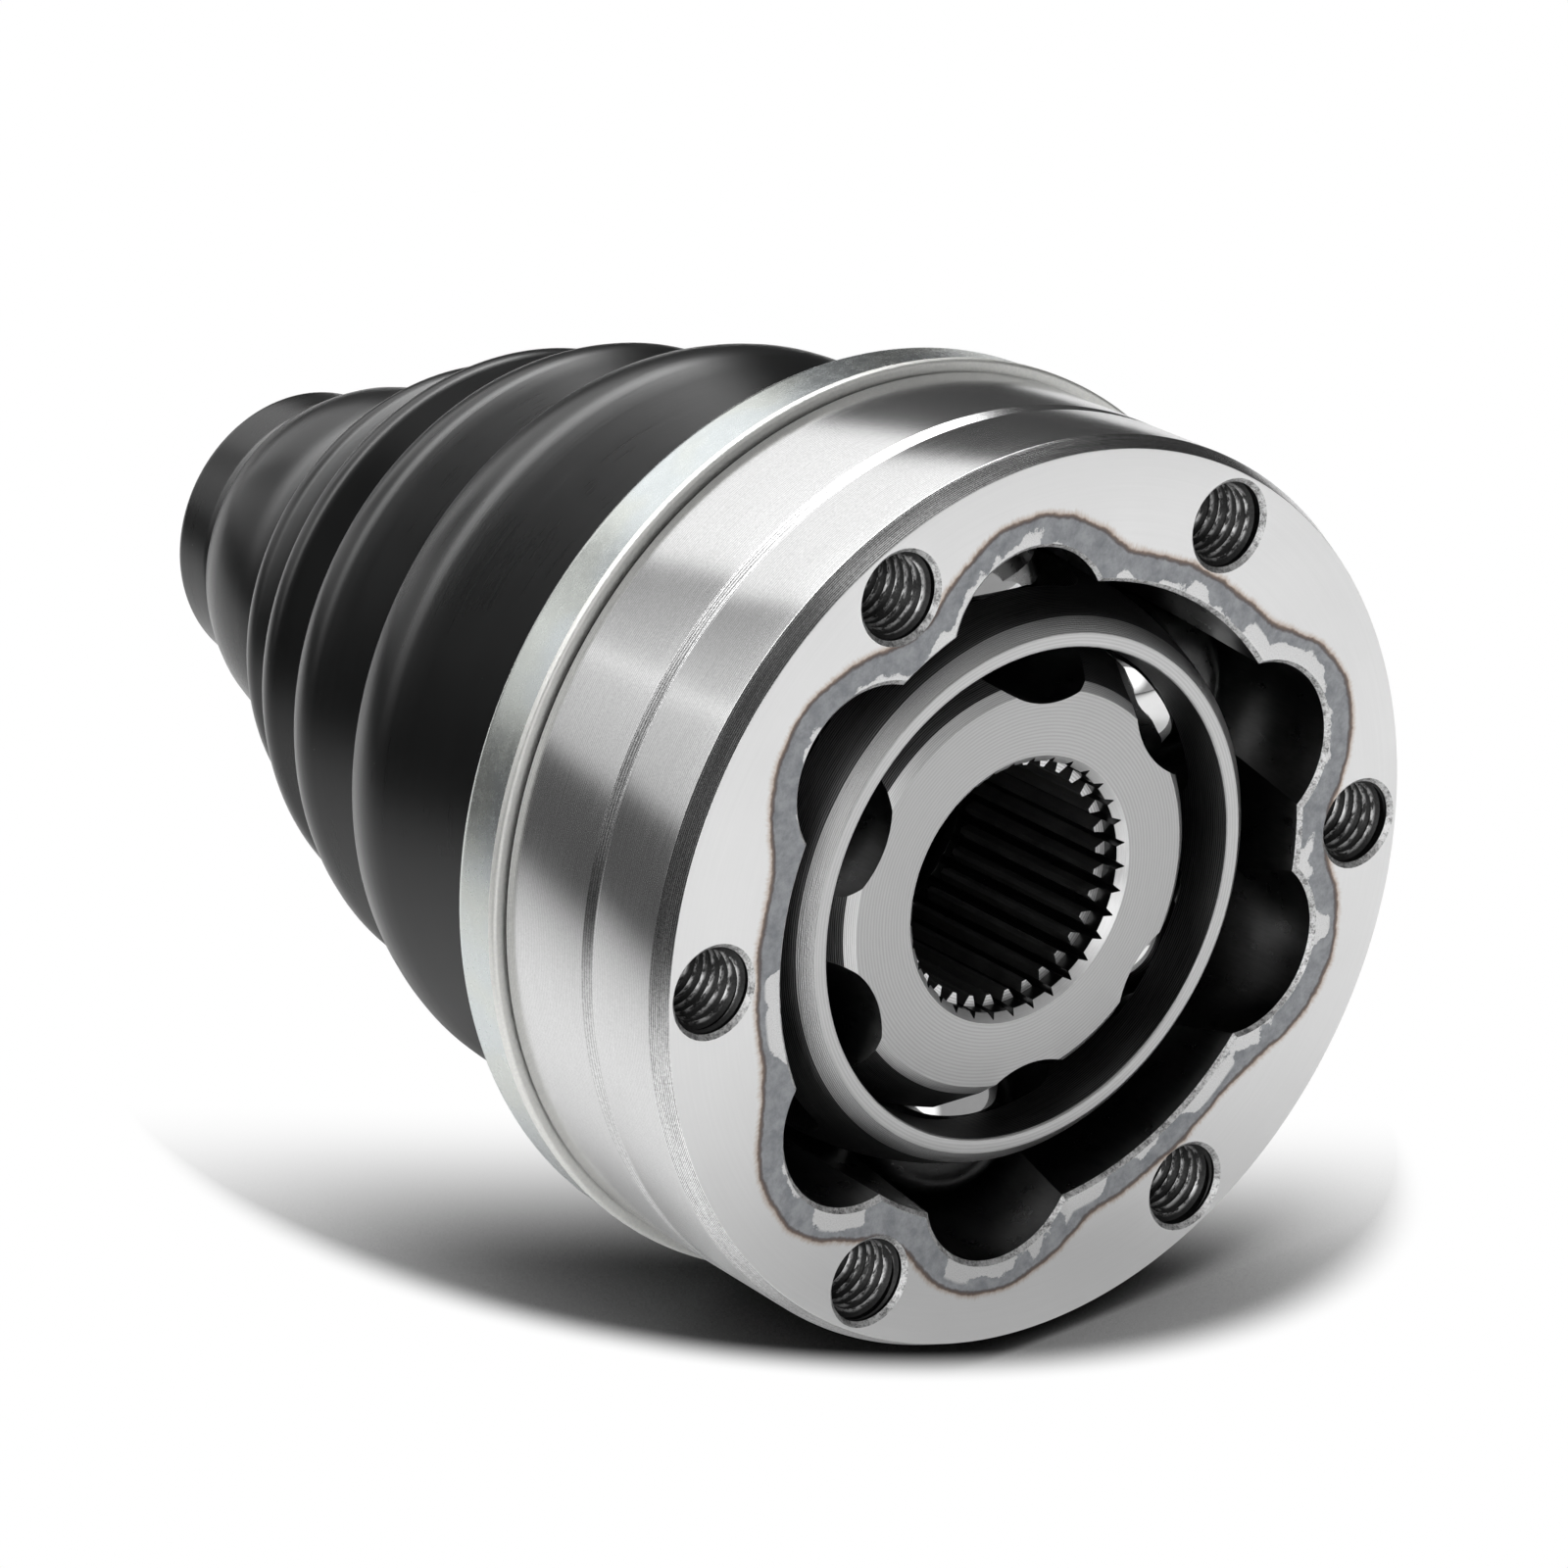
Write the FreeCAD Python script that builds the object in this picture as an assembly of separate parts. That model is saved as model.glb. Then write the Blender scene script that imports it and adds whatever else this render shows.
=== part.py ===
import FreeCAD, Part
import math
import os

# Plunging cross-groove joint of a drive shaft, with its rubber boot.
# Millimetres and degrees. The joint's axis is Y. The flange face is at y = 0 and faces -Y,
# the boot points towards +Y, and the origin is the centre of the bolt circle.

# Six balls run in straight, skewed tracks. The skew of the outer and the inner tracks is opposite.
# The plane of the balls lies a little behind the middle of the race.
track_count = 6
ball_diameter = 20.638
pitch_radius = 32.4
ball_plane_offset = 3.0
track_skew = 13.25
first_track_angle = 26.5
track_clearance = 0.15

# Outer race
race_diameter = 108.0
race_width = 34.0
race_bore_gap = 1.6
track_mouth_chamfer = 0.5
edge_bevel_width = 1.6
edge_bevel_depth = 0.75
edge_round_width = 1.0
edge_round_depth = 0.25
rim_groove_start = 12.6
rim_groove_width = 2.1
rim_groove_depth = 0.4
rim_groove_front_flank = 0.8
rim_groove_rear_flank = 0.2
shoulder_step = 0.7

# Bolt circle: M10 tapped holes, drilled blind
bolt_edge_distance = 7.0
bolt_drill_diameter = 8.5
bolt_chamfer_diameter = 10.9
bolt_hole_depth = 24.0
drill_point_angle = 118.0

# Inner race
hub_width = 30.0
hub_face_radius = 23.7
hub_flank_width = 5.2
hub_gap = 0.3
spline_teeth = 33
spline_tip_radius = 13.2
spline_root_radius = 14.7
spline_mouth_radius = 15.5
spline_root_share = 0.30
spline_mouth_share = 0.56

# Ball cage
cage_width = 34.0
cage_outer_wall = 3.65
cage_inner_wall = 2.45
cage_end_land = 0.75
cage_edge_width = 1.4
cage_edge_depth = 1.6
window_length = 25.0
window_clearance = 0.2
window_corner_radius = 5.0

# Boot can: a steel cap pressed over the shoulder of the outer race
can_wall = 1.6
can_overlap = 4.5
can_clearance = 0.05
can_lip_rise = 0.4
can_lip_width = 1.2
can_lip_rounding = 0.42
can_bend_radius = 1.5
can_mouth_gap = 0.3
seal_width = 0.7
seal_recess = 0.1

# Boot: a bead held by the can, four convolutions, a bulb and a collar for the shaft
bead_thickness = 2.2
boot_neck_inset = 3.55
boot_wall = 2.2
boot_inner_rounding = 0.3
boot_length = 116.7
boot_collar_radius = 19.3
boot_collar_width = 7.0
boot_mouth_radius = 14.0
collar_edge_radius = 0.8

# Each corner of the boot's outline: distance behind the can, radius as a share of the neck's
# radius, and radius of its rounding
boot_outline = [
    (2.2, 1.0000, 1.6),
    (6.4, 0.8795, 2.2),
    (12.5, 0.8715, 5.0),
    (27.0, 0.9538, 3.0),
    (33.4, 0.9458, 1.8),
    (36.4, 0.7751, 1.8),
    (39.6, 0.7671, 2.2),
    (48.6, 0.8594, 3.0),
    (54.4, 0.8313, 1.8),
    (57.0, 0.6948, 1.6),
    (59.4, 0.6948, 1.8),
    (62.4, 0.7610, 2.2),
    (67.9, 0.7410, 1.6),
    (70.4, 0.6305, 1.4),
    (74.0, 0.6406, 1.6),
    (79.4, 0.6265, 1.6),
    (81.8, 0.4940, 2.6),
    (86.6, 0.4538, 5.0),
    (93.2, 0.4859, 6.0),
    (100.4, 0.4739, 6.0),
    (105.8, 0.4297, 2.0),
    (107.6, 0.3655, 1.4),
]

ball_radius = ball_diameter / 2
track_radius = ball_radius + track_clearance
ball_plane = race_width / 2 + ball_plane_offset
race_radius = race_diameter / 2
bolt_circle_radius = race_radius - bolt_edge_distance
cage_inner_radius = pitch_radius - cage_inner_wall
cage_outer_radius = pitch_radius + cage_outer_wall
race_bore_radius = cage_outer_radius + race_bore_gap
hub_radius = cage_inner_radius - hub_gap
shoulder_radius = race_radius - shoulder_step
can_inner_radius = shoulder_radius + can_clearance
can_outer_radius = can_inner_radius + can_wall
boot_neck_radius = can_inner_radius - boot_neck_inset
can_front = race_width - can_overlap
bead_rear = race_width + bead_thickness
can_rear = bead_rear + can_wall
boot_end = can_rear + boot_length

# Cutters reach this far past what they cut. Shorter lengths and straighter corners are left out.
cutter_margin = 30.0
least_length = 1e-6
least_corner = 1.0
least_edge = 1.0

ORIGIN = FreeCAD.Vector(0, 0, 0)
AXIS = FreeCAD.Vector(0, 1, 0)


def radial(angle):
    """Unit vector that points away from the axis at an angle from +X towards +Z."""
    return FreeCAD.Vector(math.cos(math.radians(angle)), 0, math.sin(math.radians(angle)))


def tangent(angle):
    """Unit vector across the radial direction, towards a growing angle."""
    return FreeCAD.Vector(-math.sin(math.radians(angle)), 0, math.cos(math.radians(angle)))


def on_axis(y):
    """Point on the joint's axis."""
    return FreeCAD.Vector(0, y, 0)


def track_angles():
    """Angle of each ball, in its plane, with the sign of its outer track's skew."""
    step = 360 / track_count
    return [(first_track_angle + i * step, 1 if i % 2 == 0 else -1) for i in range(track_count)]


def rounded_edges(corners):
    """Lines and arcs through corners of (y, radius, rounding) in the half plane of +X."""
    points = [FreeCAD.Vector(r, y, 0) for y, r, _ in corners]
    edges = []
    start = points[0]
    for before, corner, after, (_, _, rounding) in zip(points, points[1:], points[2:], corners[1:-1]):
        to_before = (before - corner).normalize()
        to_after = (after - corner).normalize()
        half_turn = to_before.getAngle(to_after) / 2
        reach = rounding / math.tan(half_turn)
        straight = half_turn > math.radians((180 - least_corner) / 2)
        if rounding <= 0 or straight:
            if (corner - start).Length > least_length:
                edges.append(Part.LineSegment(start, corner).toShape())
            start = corner
            continue
        enter = corner + to_before * reach
        leave = corner + to_after * reach
        centre = corner + (to_before + to_after).normalize() * (rounding / math.sin(half_turn))
        middle = centre + (corner - centre).normalize() * rounding
        if (enter - start).Length > least_length:
            edges.append(Part.LineSegment(start, enter).toShape())
        edges.append(Part.Arc(enter, middle, leave).toShape())
        start = leave
    if (points[-1] - start).Length > least_length:
        edges.append(Part.LineSegment(start, points[-1]).toShape())
    return edges


def revolved(corners):
    """Solid of revolution about the joint's axis from a closed outline of (y, radius, rounding)."""
    closed = corners + [corners[0]]
    wire = Part.Wire(rounded_edges(closed))
    return Part.Face(wire).revolve(ORIGIN, AXIS, 360)


def sharp(*pairs):
    """Corners without rounding, from pairs of (y, radius)."""
    return [(y, r, 0) for y, r in pairs]


def track_cutter(angle, skew_sign):
    """Long cylinder along a ball track that leans by the skew about the radial line of its ball."""
    skew = math.radians(track_skew) * skew_sign
    direction = AXIS * math.cos(skew) + tangent(angle) * math.sin(skew)
    length = race_width + 2 * cutter_margin
    centre = on_axis(ball_plane) + radial(angle) * pitch_radius
    return Part.makeCylinder(track_radius, length, centre - direction * (length / 2), direction)


def bolt_hole(angle):
    """Cutter for one tapped hole: mouth chamfer, drilled wall and drill point."""
    drill_radius = bolt_drill_diameter / 2
    chamfer = (bolt_chamfer_diameter - bolt_drill_diameter) / 2
    point = drill_radius / math.tan(math.radians(drill_point_angle / 2))
    centre = radial(angle) * bolt_circle_radius
    wall = Part.makeCylinder(drill_radius, bolt_hole_depth, centre, AXIS)
    mouth = Part.makeCone(bolt_chamfer_diameter / 2, drill_radius, chamfer, centre, AXIS)
    tip = Part.makeCone(drill_radius, 0, point, centre + AXIS * bolt_hole_depth, AXIS)
    return wall.fuse([mouth, tip])


def bolt_angles():
    """The holes lie midway between the ball tracks."""
    step = 360 / track_count
    return [first_track_angle + (i + 0.5) * step for i in range(track_count)]


def mouth_edges(shape):
    """Edges of the lobed opening in the flange face, inside the face's outer edge."""
    reach = race_radius - edge_bevel_depth - edge_round_depth - least_edge
    edges = []
    for edge in shape.Edges:
        box = edge.BoundBox
        far = max(FreeCAD.Vector(p.x, 0, p.z).Length for p in edge.discretize(9))
        if box.YMax < least_length and far < reach and edge.Length > least_edge:
            edges.append(edge)
    return edges


def make_outer_race():
    """Flanged ring with six skewed ball tracks, six tapped holes and the shoulder for the can."""
    bevel_end = edge_bevel_width + edge_round_width
    groove_end = rim_groove_start + rim_groove_width
    groove_radius = race_radius - rim_groove_depth
    ring = revolved(sharp(
        (0, race_bore_radius),
        (0, race_radius - edge_bevel_depth - edge_round_depth),
        (edge_bevel_width, race_radius - edge_round_depth),
        (bevel_end, race_radius),
        (rim_groove_start, race_radius),
        (rim_groove_start + rim_groove_front_flank, groove_radius),
        (groove_end - rim_groove_rear_flank, groove_radius),
        (groove_end, race_radius),
        (can_front - seal_width, race_radius),
        (can_front - seal_width, shoulder_radius),
        (race_width, shoulder_radius),
        (race_width, race_bore_radius),
    ))
    ring = ring.cut([track_cutter(angle, sign) for angle, sign in track_angles()])
    ring = ring.makeChamfer(track_mouth_chamfer, mouth_edges(ring))
    return ring.cut([bolt_hole(angle) for angle in bolt_angles()])


def spline_cutter():
    """Prism of the splined bore, one slot between each pair of teeth."""
    pitch = 360 / spline_teeth
    start = ball_plane - hub_width
    slot = [
        (spline_tip_radius, -spline_mouth_share),
        (spline_root_radius, -spline_root_share),
        (spline_root_radius, spline_root_share),
        (spline_tip_radius, spline_mouth_share),
    ]
    corners = []
    for i in range(spline_teeth):
        for radius, share in slot:
            angle = (i + share / 2) * pitch
            corners.append(radial(angle) * radius + on_axis(start))
    face = Part.Face(Part.makePolygon(corners + [corners[0]]))
    return face.extrude(AXIS * (2 * hub_width))


def make_inner_race():
    """Hub with a splined bore, a spherical waist and six tracks skewed against the outer ones."""
    front = ball_plane - hub_width / 2
    rear = ball_plane + hub_width / 2
    flank_reach = hub_width / 2 - hub_flank_width
    flank_radius = math.sqrt(hub_radius ** 2 - flank_reach ** 2)
    blank = revolved(sharp(
        (front, 0),
        (front, hub_face_radius),
        (front + hub_flank_width, flank_radius),
        (ball_plane, 2 * hub_radius),
        (rear - hub_flank_width, flank_radius),
        (rear, hub_face_radius),
        (rear, 0),
    ))
    hub = blank.common(Part.makeSphere(hub_radius, on_axis(ball_plane)))
    hub = hub.cut([track_cutter(angle, -sign) for angle, sign in track_angles()])
    chamfer = spline_mouth_radius - spline_tip_radius
    mouths = [
        Part.makeCone(spline_mouth_radius, spline_tip_radius, chamfer, on_axis(front), AXIS),
        Part.makeCone(spline_mouth_radius, spline_tip_radius, chamfer, on_axis(rear), -AXIS),
    ]
    return hub.cut([spline_cutter()] + mouths)


def window_cutter(angle):
    """Radial cutter of one cage window, with rounded corners."""
    half_height = ball_radius + window_clearance
    half_length = window_length / 2
    depth = 2 * (cage_outer_wall + cage_inner_wall)
    corner = window_corner_radius
    origin = on_axis(ball_plane) + radial(angle) * (pitch_radius - depth)
    wide = Part.makeBox(2 * half_length, 2 * half_height - 2 * corner, 2 * depth)
    tall = Part.makeBox(2 * half_length - 2 * corner, 2 * half_height, 2 * depth)
    wide.translate(FreeCAD.Vector(-half_length, corner - half_height, 0))
    tall.translate(FreeCAD.Vector(corner - half_length, -half_height, 0))
    rounds = []
    for x in (corner - half_length, half_length - corner):
        for y in (corner - half_height, half_height - corner):
            rounds.append(Part.makeCylinder(corner, 2 * depth, FreeCAD.Vector(x, y, 0)))
    window = wide.fuse([tall] + rounds).removeSplitter()
    turn = FreeCAD.Rotation(-tangent(angle), AXIS, radial(angle), "ZXY")
    window.Placement = FreeCAD.Placement(origin, turn)
    return window


def make_ball_cage():
    """Ring with spherical faces inside and out, and one window for each ball."""
    front = ball_plane - cage_width / 2
    rear = ball_plane + cage_width / 2
    edge_reach = cage_width / 2 - cage_edge_width
    edge_radius = math.sqrt(cage_outer_radius ** 2 - edge_reach ** 2)
    blank = revolved(sharp(
        (front, 0),
        (front, edge_radius - cage_edge_depth),
        (front + cage_edge_width, edge_radius),
        (ball_plane, 2 * cage_outer_radius),
        (rear - cage_edge_width, edge_radius),
        (rear, edge_radius - cage_edge_depth),
        (rear, 0),
    ))
    cage = blank.common(Part.makeSphere(cage_outer_radius, on_axis(ball_plane)))
    land_radius = cage_inner_radius - cage_end_land
    end_bore = Part.makeCylinder(land_radius, 2 * cage_width, on_axis(ball_plane - cage_width), AXIS)
    cage = cage.cut([Part.makeSphere(cage_inner_radius, on_axis(ball_plane)), end_bore])
    return cage.cut([window_cutter(angle) for angle, _ in track_angles()])


def make_ball(angle):
    """One steel ball, at the crossing of its outer and inner track."""
    return Part.makeSphere(ball_radius, on_axis(ball_plane) + radial(angle) * pitch_radius)


def make_boot_can():
    """Pressed steel cap: a rolled lip, a sleeve over the race and a flange behind the boot's bead."""
    lip_end = can_front + can_lip_width
    lip_radius = can_outer_radius + can_lip_rise
    return revolved([
        (can_front, can_inner_radius, 0),
        (can_front, lip_radius, can_lip_rounding),
        (lip_end, lip_radius, can_lip_rounding),
        (lip_end, can_outer_radius, 0),
        (can_rear, can_outer_radius, can_bend_radius),
        (can_rear, boot_neck_radius + can_mouth_gap, 0),
        (bead_rear, boot_neck_radius + can_mouth_gap, 0),
        (bead_rear, can_inner_radius, 0),
    ])


def make_can_seal():
    """Sealing ring squeezed between the shoulder of the race and the lip of the can."""
    return revolved(sharp(
        (can_front - seal_width, can_inner_radius),
        (can_front - seal_width, race_radius - seal_recess),
        (can_front, race_radius - seal_recess),
        (can_front, can_inner_radius),
    ))


def inset_corners(corners, wall):
    """The same outline moved towards the axis by the wall, with its roundings grown or shrunk."""
    points = [FreeCAD.Vector(r, y, 0) for y, r, _ in corners]
    moved = []
    for i, (_, _, rounding) in enumerate(corners):
        before = (points[i] - points[i - 1]).normalize() if i > 0 else None
        after = (points[i + 1] - points[i]).normalize() if i + 1 < len(points) else None
        ahead = after if before is None else before
        behind = before if after is None else after
        inward_a = FreeCAD.Vector(-ahead.y, ahead.x, 0)
        inward_b = FreeCAD.Vector(-behind.y, behind.x, 0)
        mean = (inward_a + inward_b).normalize()
        place = points[i] + mean * (wall / mean.dot(inward_a))
        turn = ahead.x * behind.y - ahead.y * behind.x
        shrunk = max(rounding - wall, boot_inner_rounding)
        inner_rounding = shrunk if turn > 0 else rounding + wall
        moved.append((place.y, place.x, inner_rounding))
    return moved


def make_boot():
    """Rubber bellows of even wall between a bead in the can and a thick collar for the shaft."""
    outline = [(can_rear + y, boot_neck_radius * share, q) for y, share, q in boot_outline]
    neck = [(bead_rear, boot_neck_radius, 0)] + outline
    inside = inset_corners(neck, boot_wall)
    collar_front = boot_end - boot_collar_width
    bead = [
        (race_width, boot_neck_radius - boot_wall, 0),
        (race_width, shoulder_radius, 0),
        (bead_rear, shoulder_radius, 0),
    ]
    collar = [
        (collar_front, boot_collar_radius, collar_edge_radius),
        (boot_end, boot_collar_radius, collar_edge_radius),
        (boot_end, boot_mouth_radius, 0),
        (collar_front - boot_wall, boot_mouth_radius, 0),
    ]
    return revolved(bead + neck + collar + list(reversed(inside[1:-1])))


def main():
    """Write one STEP file for each piece."""
    pieces = {
        "outer_race": make_outer_race(),
        "inner_race": make_inner_race(),
        "ball_cage": make_ball_cage(),
        "boot_can": make_boot_can(),
        "can_seal": make_can_seal(),
        "boot": make_boot(),
    }
    for number, (angle, _) in enumerate(track_angles(), start=1):
        pieces[f"ball_{number}"] = make_ball(angle)
    os.makedirs("parts", exist_ok=True)
    for name, shape in pieces.items():
        print(name, shape.isValid(), len(shape.Solids), round(shape.Volume, 1))
        shape.exportStep(f"parts/{name}.step")


main()
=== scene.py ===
import logging
import math
from dataclasses import dataclass, field
from enum import Enum
from typing import Any, Callable, Dict, List, Optional, Sequence, Tuple, Union

import bmesh
import bpy
from mathutils import Matrix, Vector


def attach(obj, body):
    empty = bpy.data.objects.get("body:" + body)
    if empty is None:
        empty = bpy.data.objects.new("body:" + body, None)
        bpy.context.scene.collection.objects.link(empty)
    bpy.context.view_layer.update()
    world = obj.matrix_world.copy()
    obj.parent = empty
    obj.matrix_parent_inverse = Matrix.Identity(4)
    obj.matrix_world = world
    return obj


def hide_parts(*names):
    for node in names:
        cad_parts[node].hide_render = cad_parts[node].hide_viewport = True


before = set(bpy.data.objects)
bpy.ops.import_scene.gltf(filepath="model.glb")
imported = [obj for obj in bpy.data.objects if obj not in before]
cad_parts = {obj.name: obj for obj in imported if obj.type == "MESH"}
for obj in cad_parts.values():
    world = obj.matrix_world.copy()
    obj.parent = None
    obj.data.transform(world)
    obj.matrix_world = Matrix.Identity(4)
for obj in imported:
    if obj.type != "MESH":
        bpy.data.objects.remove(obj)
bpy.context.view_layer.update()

# Plunging cross-groove joint of a drive shaft with its rubber boot. The joint's axis is Y, the
# flange face is at y = 0 and the boot points towards +Y. Sizes in the classes are millimetres.

LOG = logging.getLogger("joint")
MM = 0.001
MERGE = 0.002 * MM
Mesh = bpy.types.Mesh
Material = bpy.types.Material
Settings = Dict[str, Any]
Inputs = Dict[Union[str, int], Any]
Point2 = Tuple[float, float]
Point3 = Tuple[float, float, float]
Colour = Tuple[float, float, float, float]


def math_method(operation: str, swapped: bool = False) -> Callable[["Value", "Operand"], "Value"]:
    """Makes the method behind a sign, such as +.

    Args:
        operation: the Math node's operation.
        swapped: the other value comes first.

    Returns:
        The method, which adds one Math node.
    """

    def method(value: "Value", other: "Operand") -> "Value":
        """Both values through the Math node."""
        terms = (other, value) if swapped else (value, other)
        return value.plan.calculated(operation, *terms)

    return method


class Value:
    """A socket of a node tree that can be written into sums; each sum adds its Math node."""

    def __init__(self, plan: "Plan", socket: bpy.types.NodeSocket) -> None:
        """Wraps an output socket.

        Args:
            plan: the tree that the socket belongs to.
            socket: the output socket.
        """
        self.plan = plan
        self.socket = socket

    __add__, __radd__ = math_method("ADD"), math_method("ADD", swapped=True)
    __sub__, __rsub__ = math_method("SUBTRACT"), math_method("SUBTRACT", swapped=True)
    __mul__, __rmul__ = math_method("MULTIPLY"), math_method("MULTIPLY", swapped=True)
    __truediv__, __mod__ = math_method("DIVIDE"), math_method("FLOORED_MODULO")
    __lt__, __gt__ = math_method("LESS_THAN"), math_method("GREATER_THAN")
    least, most = math_method("MINIMUM"), math_method("MAXIMUM")

    def __neg__(self) -> "Value":
        """This value with its sign turned."""
        return self * -1.0

    def function(self, operation: str, *others: "Operand") -> "Value":
        """A named Math operation on this value, such as SINE or ARCTAN2."""
        return self.plan.calculated(operation, self, *others)


Operand = Union[Value, float]


class Plan:
    """A node tree that is filled from Python."""

    def __init__(self, tree: bpy.types.NodeTree) -> None:
        """Starts from an empty tree."""
        self.tree = tree
        self.tree.nodes.clear()

    def node(
        self,
        kind: str,
        settings: Optional[Settings] = None,
        values: Optional[Inputs] = None,
    ) -> bpy.types.Node:
        """Adds one node.

        Args:
            kind: the node's type.
            settings: its properties, set first; "stops" holds a ramp's (place, colour) pairs.
            values: what each input gets, a Value or a plain number, colour or vector.

        Returns:
            The new node.
        """
        node = self.tree.nodes.new(kind)
        for name, setting in (settings or {}).items():
            if name == "stops":
                self._set_stops(node, setting)
            else:
                setattr(node, name, setting)
        for key, given in (values or {}).items():
            if isinstance(given, Value):
                self.tree.links.new(given.socket, node.inputs[key])
            else:
                node.inputs[key].default_value = given
        return node

    def value(
        self,
        kind: str,
        settings: Optional[Settings] = None,
        values: Optional[Inputs] = None,
        output: Union[str, int] = 0,
    ) -> Value:
        """Adds one node and returns one of its outputs.

        Args:
            kind: the node's type.
            settings: its properties.
            values: what each input gets.
            output: the name or number of the output.

        Returns:
            The output as a Value.
        """
        return Value(self, self.node(kind, settings, values).outputs[output])

    def calculated(self, operation: str, *terms: Operand) -> Value:
        """The result of one Math node."""
        return self.value("ShaderNodeMath", {"operation": operation}, dict(enumerate(terms)))

    @staticmethod
    def _set_stops(node: bpy.types.Node, stops: Sequence[Tuple[float, Colour]]) -> None:
        """Gives a colour ramp its stops.

        Args:
            node: the ramp.
            stops: (place, colour) pairs in rising order.
        """
        elements = node.color_ramp.elements
        while len(elements) < len(stops):
            elements.new(1.0)
        for element, (place, colour) in zip(elements, stops):
            element.position = place
            element.color = colour

    def split(self, vector: Value) -> Tuple[Value, Value, Value]:
        """The three parts of a vector."""
        node = self.node("ShaderNodeSeparateXYZ", None, {0: vector})
        return tuple(Value(self, node.outputs[i]) for i in range(3))

    def join(self, x: Operand, y: Operand, z: Operand) -> Value:
        """A vector from its three parts."""
        return self.value("ShaderNodeCombineXYZ", None, {0: x, 1: y, 2: z})

    def step(self, given: Operand, low: float, high: float) -> Value:
        """A soft step from 0 at low to 1 at high.

        Args:
            given: the value that is read.
            low: where the step begins.
            high: where it ends.

        Returns:
            The share, 0 to 1.
        """
        return self.value(
            "ShaderNodeMapRange",
            {"interpolation_type": "SMOOTHSTEP"},
            {"Value": given, "From Min": low, "From Max": high},
        )


class FinishPlan(Plan):
    """The node tree of one material, read in the object's own coordinates in millimetres."""

    def __init__(self, name: str) -> None:
        """Makes an empty material.

        Args:
            name: the material's name.
        """
        self.material = bpy.data.materials.new(name)
        self.material.use_nodes = True
        super().__init__(self.material.node_tree)
        place = self.value("ShaderNodeTexCoord", output="Object")
        self.place = self.value(
            "ShaderNodeVectorMath", {"operation": "SCALE"}, {0: place, "Scale": 1 / MM}
        )
        self.x, self.y, self.z = self.split(self.place)
        self.radius = (self.x * self.x + self.z * self.z).function("SQRT")
        self.angle = self.z.function("ARCTAN2", self.x)

    def noise(
        self, vector: Value, scale: float, detail: float, roughness: float = 0.5
    ) -> Value:
        """Noise of about 0 to 1.

        Args:
            vector: where it is read.
            scale: how many bumps to a unit of the vector.
            detail: octaves.
            roughness: strength of the finer octaves.

        Returns:
            The noise.
        """
        return self.value(
            "ShaderNodeTexNoise",
            {"noise_dimensions": "3D"},
            {"Vector": vector, "Scale": scale, "Detail": detail, "Roughness": roughness},
        )

    def cloud(self, scale: float, detail: float, roughness: float = 0.5) -> Value:
        """Noise read at the point itself, with scale in bumps to a millimetre."""
        return self.noise(self.place, scale, detail, roughness)

    def away(self, spot: Point2) -> Value:
        """Distance from the line through (x, z) along the joint's axis.

        Args:
            spot: the line's (x, z) in millimetres.

        Returns:
            The distance in millimetres.
        """
        flat = self.join(self.x, 0.0, self.z)
        return self.value(
            "ShaderNodeVectorMath",
            {"operation": "DISTANCE"},
            {0: flat, 1: (spot[0], 0.0, spot[1])},
            output="Value",
        )

    def specks(self, scale: float, size: float) -> Value:
        """1 inside small scattered dots, else 0.

        Args:
            scale: cells to a millimetre.
            size: radius of a dot as a share of a cell.

        Returns:
            The mask.
        """
        cells = self.value(
            "ShaderNodeTexVoronoi", {"feature": "F1"}, {"Vector": self.place, "Scale": scale}
        )
        return 1 - self.step(cells, size * 0.6, size)

    def mix(self, share: Operand, start: Any, end: Any) -> Value:
        """A colour between two others.

        Args:
            share: 0 for the start, 1 for the end.
            start: the first colour.
            end: the second colour.

        Returns:
            The colour.
        """
        return self.value(
            "ShaderNodeMix", {"data_type": "RGBA"}, {0: share, 6: start, 7: end}, output=2
        )

    def bump(self, height: Value, distance: float) -> Value:
        """A normal from a height of about 0 to 1, with distance millimetres for 1."""
        return self.value("ShaderNodeBump", None, {"Height": height, "Distance": distance * MM})

    def shade(
        self,
        colour: Any,
        roughness: Any,
        metallic: Any = 0.0,
        normal: Optional[Value] = None,
        **fixed: float,
    ) -> Material:
        """Ends the tree in one Principled shader.

        Args:
            colour: the base colour.
            roughness: the roughness.
            metallic: the share of metal.
            normal: the normal, if it isn't the surface's own.
            fixed: numbers for other sockets, with underscores for spaces.

        Returns:
            The finished material.
        """
        values: Inputs = {
            "Base Color": colour, "Roughness": roughness, "Metallic": metallic,
        }
        if normal is not None:
            values["Normal"] = normal
        for name, number in fixed.items():
            values[name.replace("_", " ")] = number
        shader = self.value("ShaderNodeBsdfPrincipled", None, values)
        self.node("ShaderNodeOutputMaterial", None, {"Surface": shader})
        return self.material


def grey(level: float, warm: float = 0.0) -> Colour:
    """A grey of a linear level, warmer above 0 and cooler below it."""
    return (level * (1 + warm), level, level * (1 - warm), 1.0)


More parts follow.
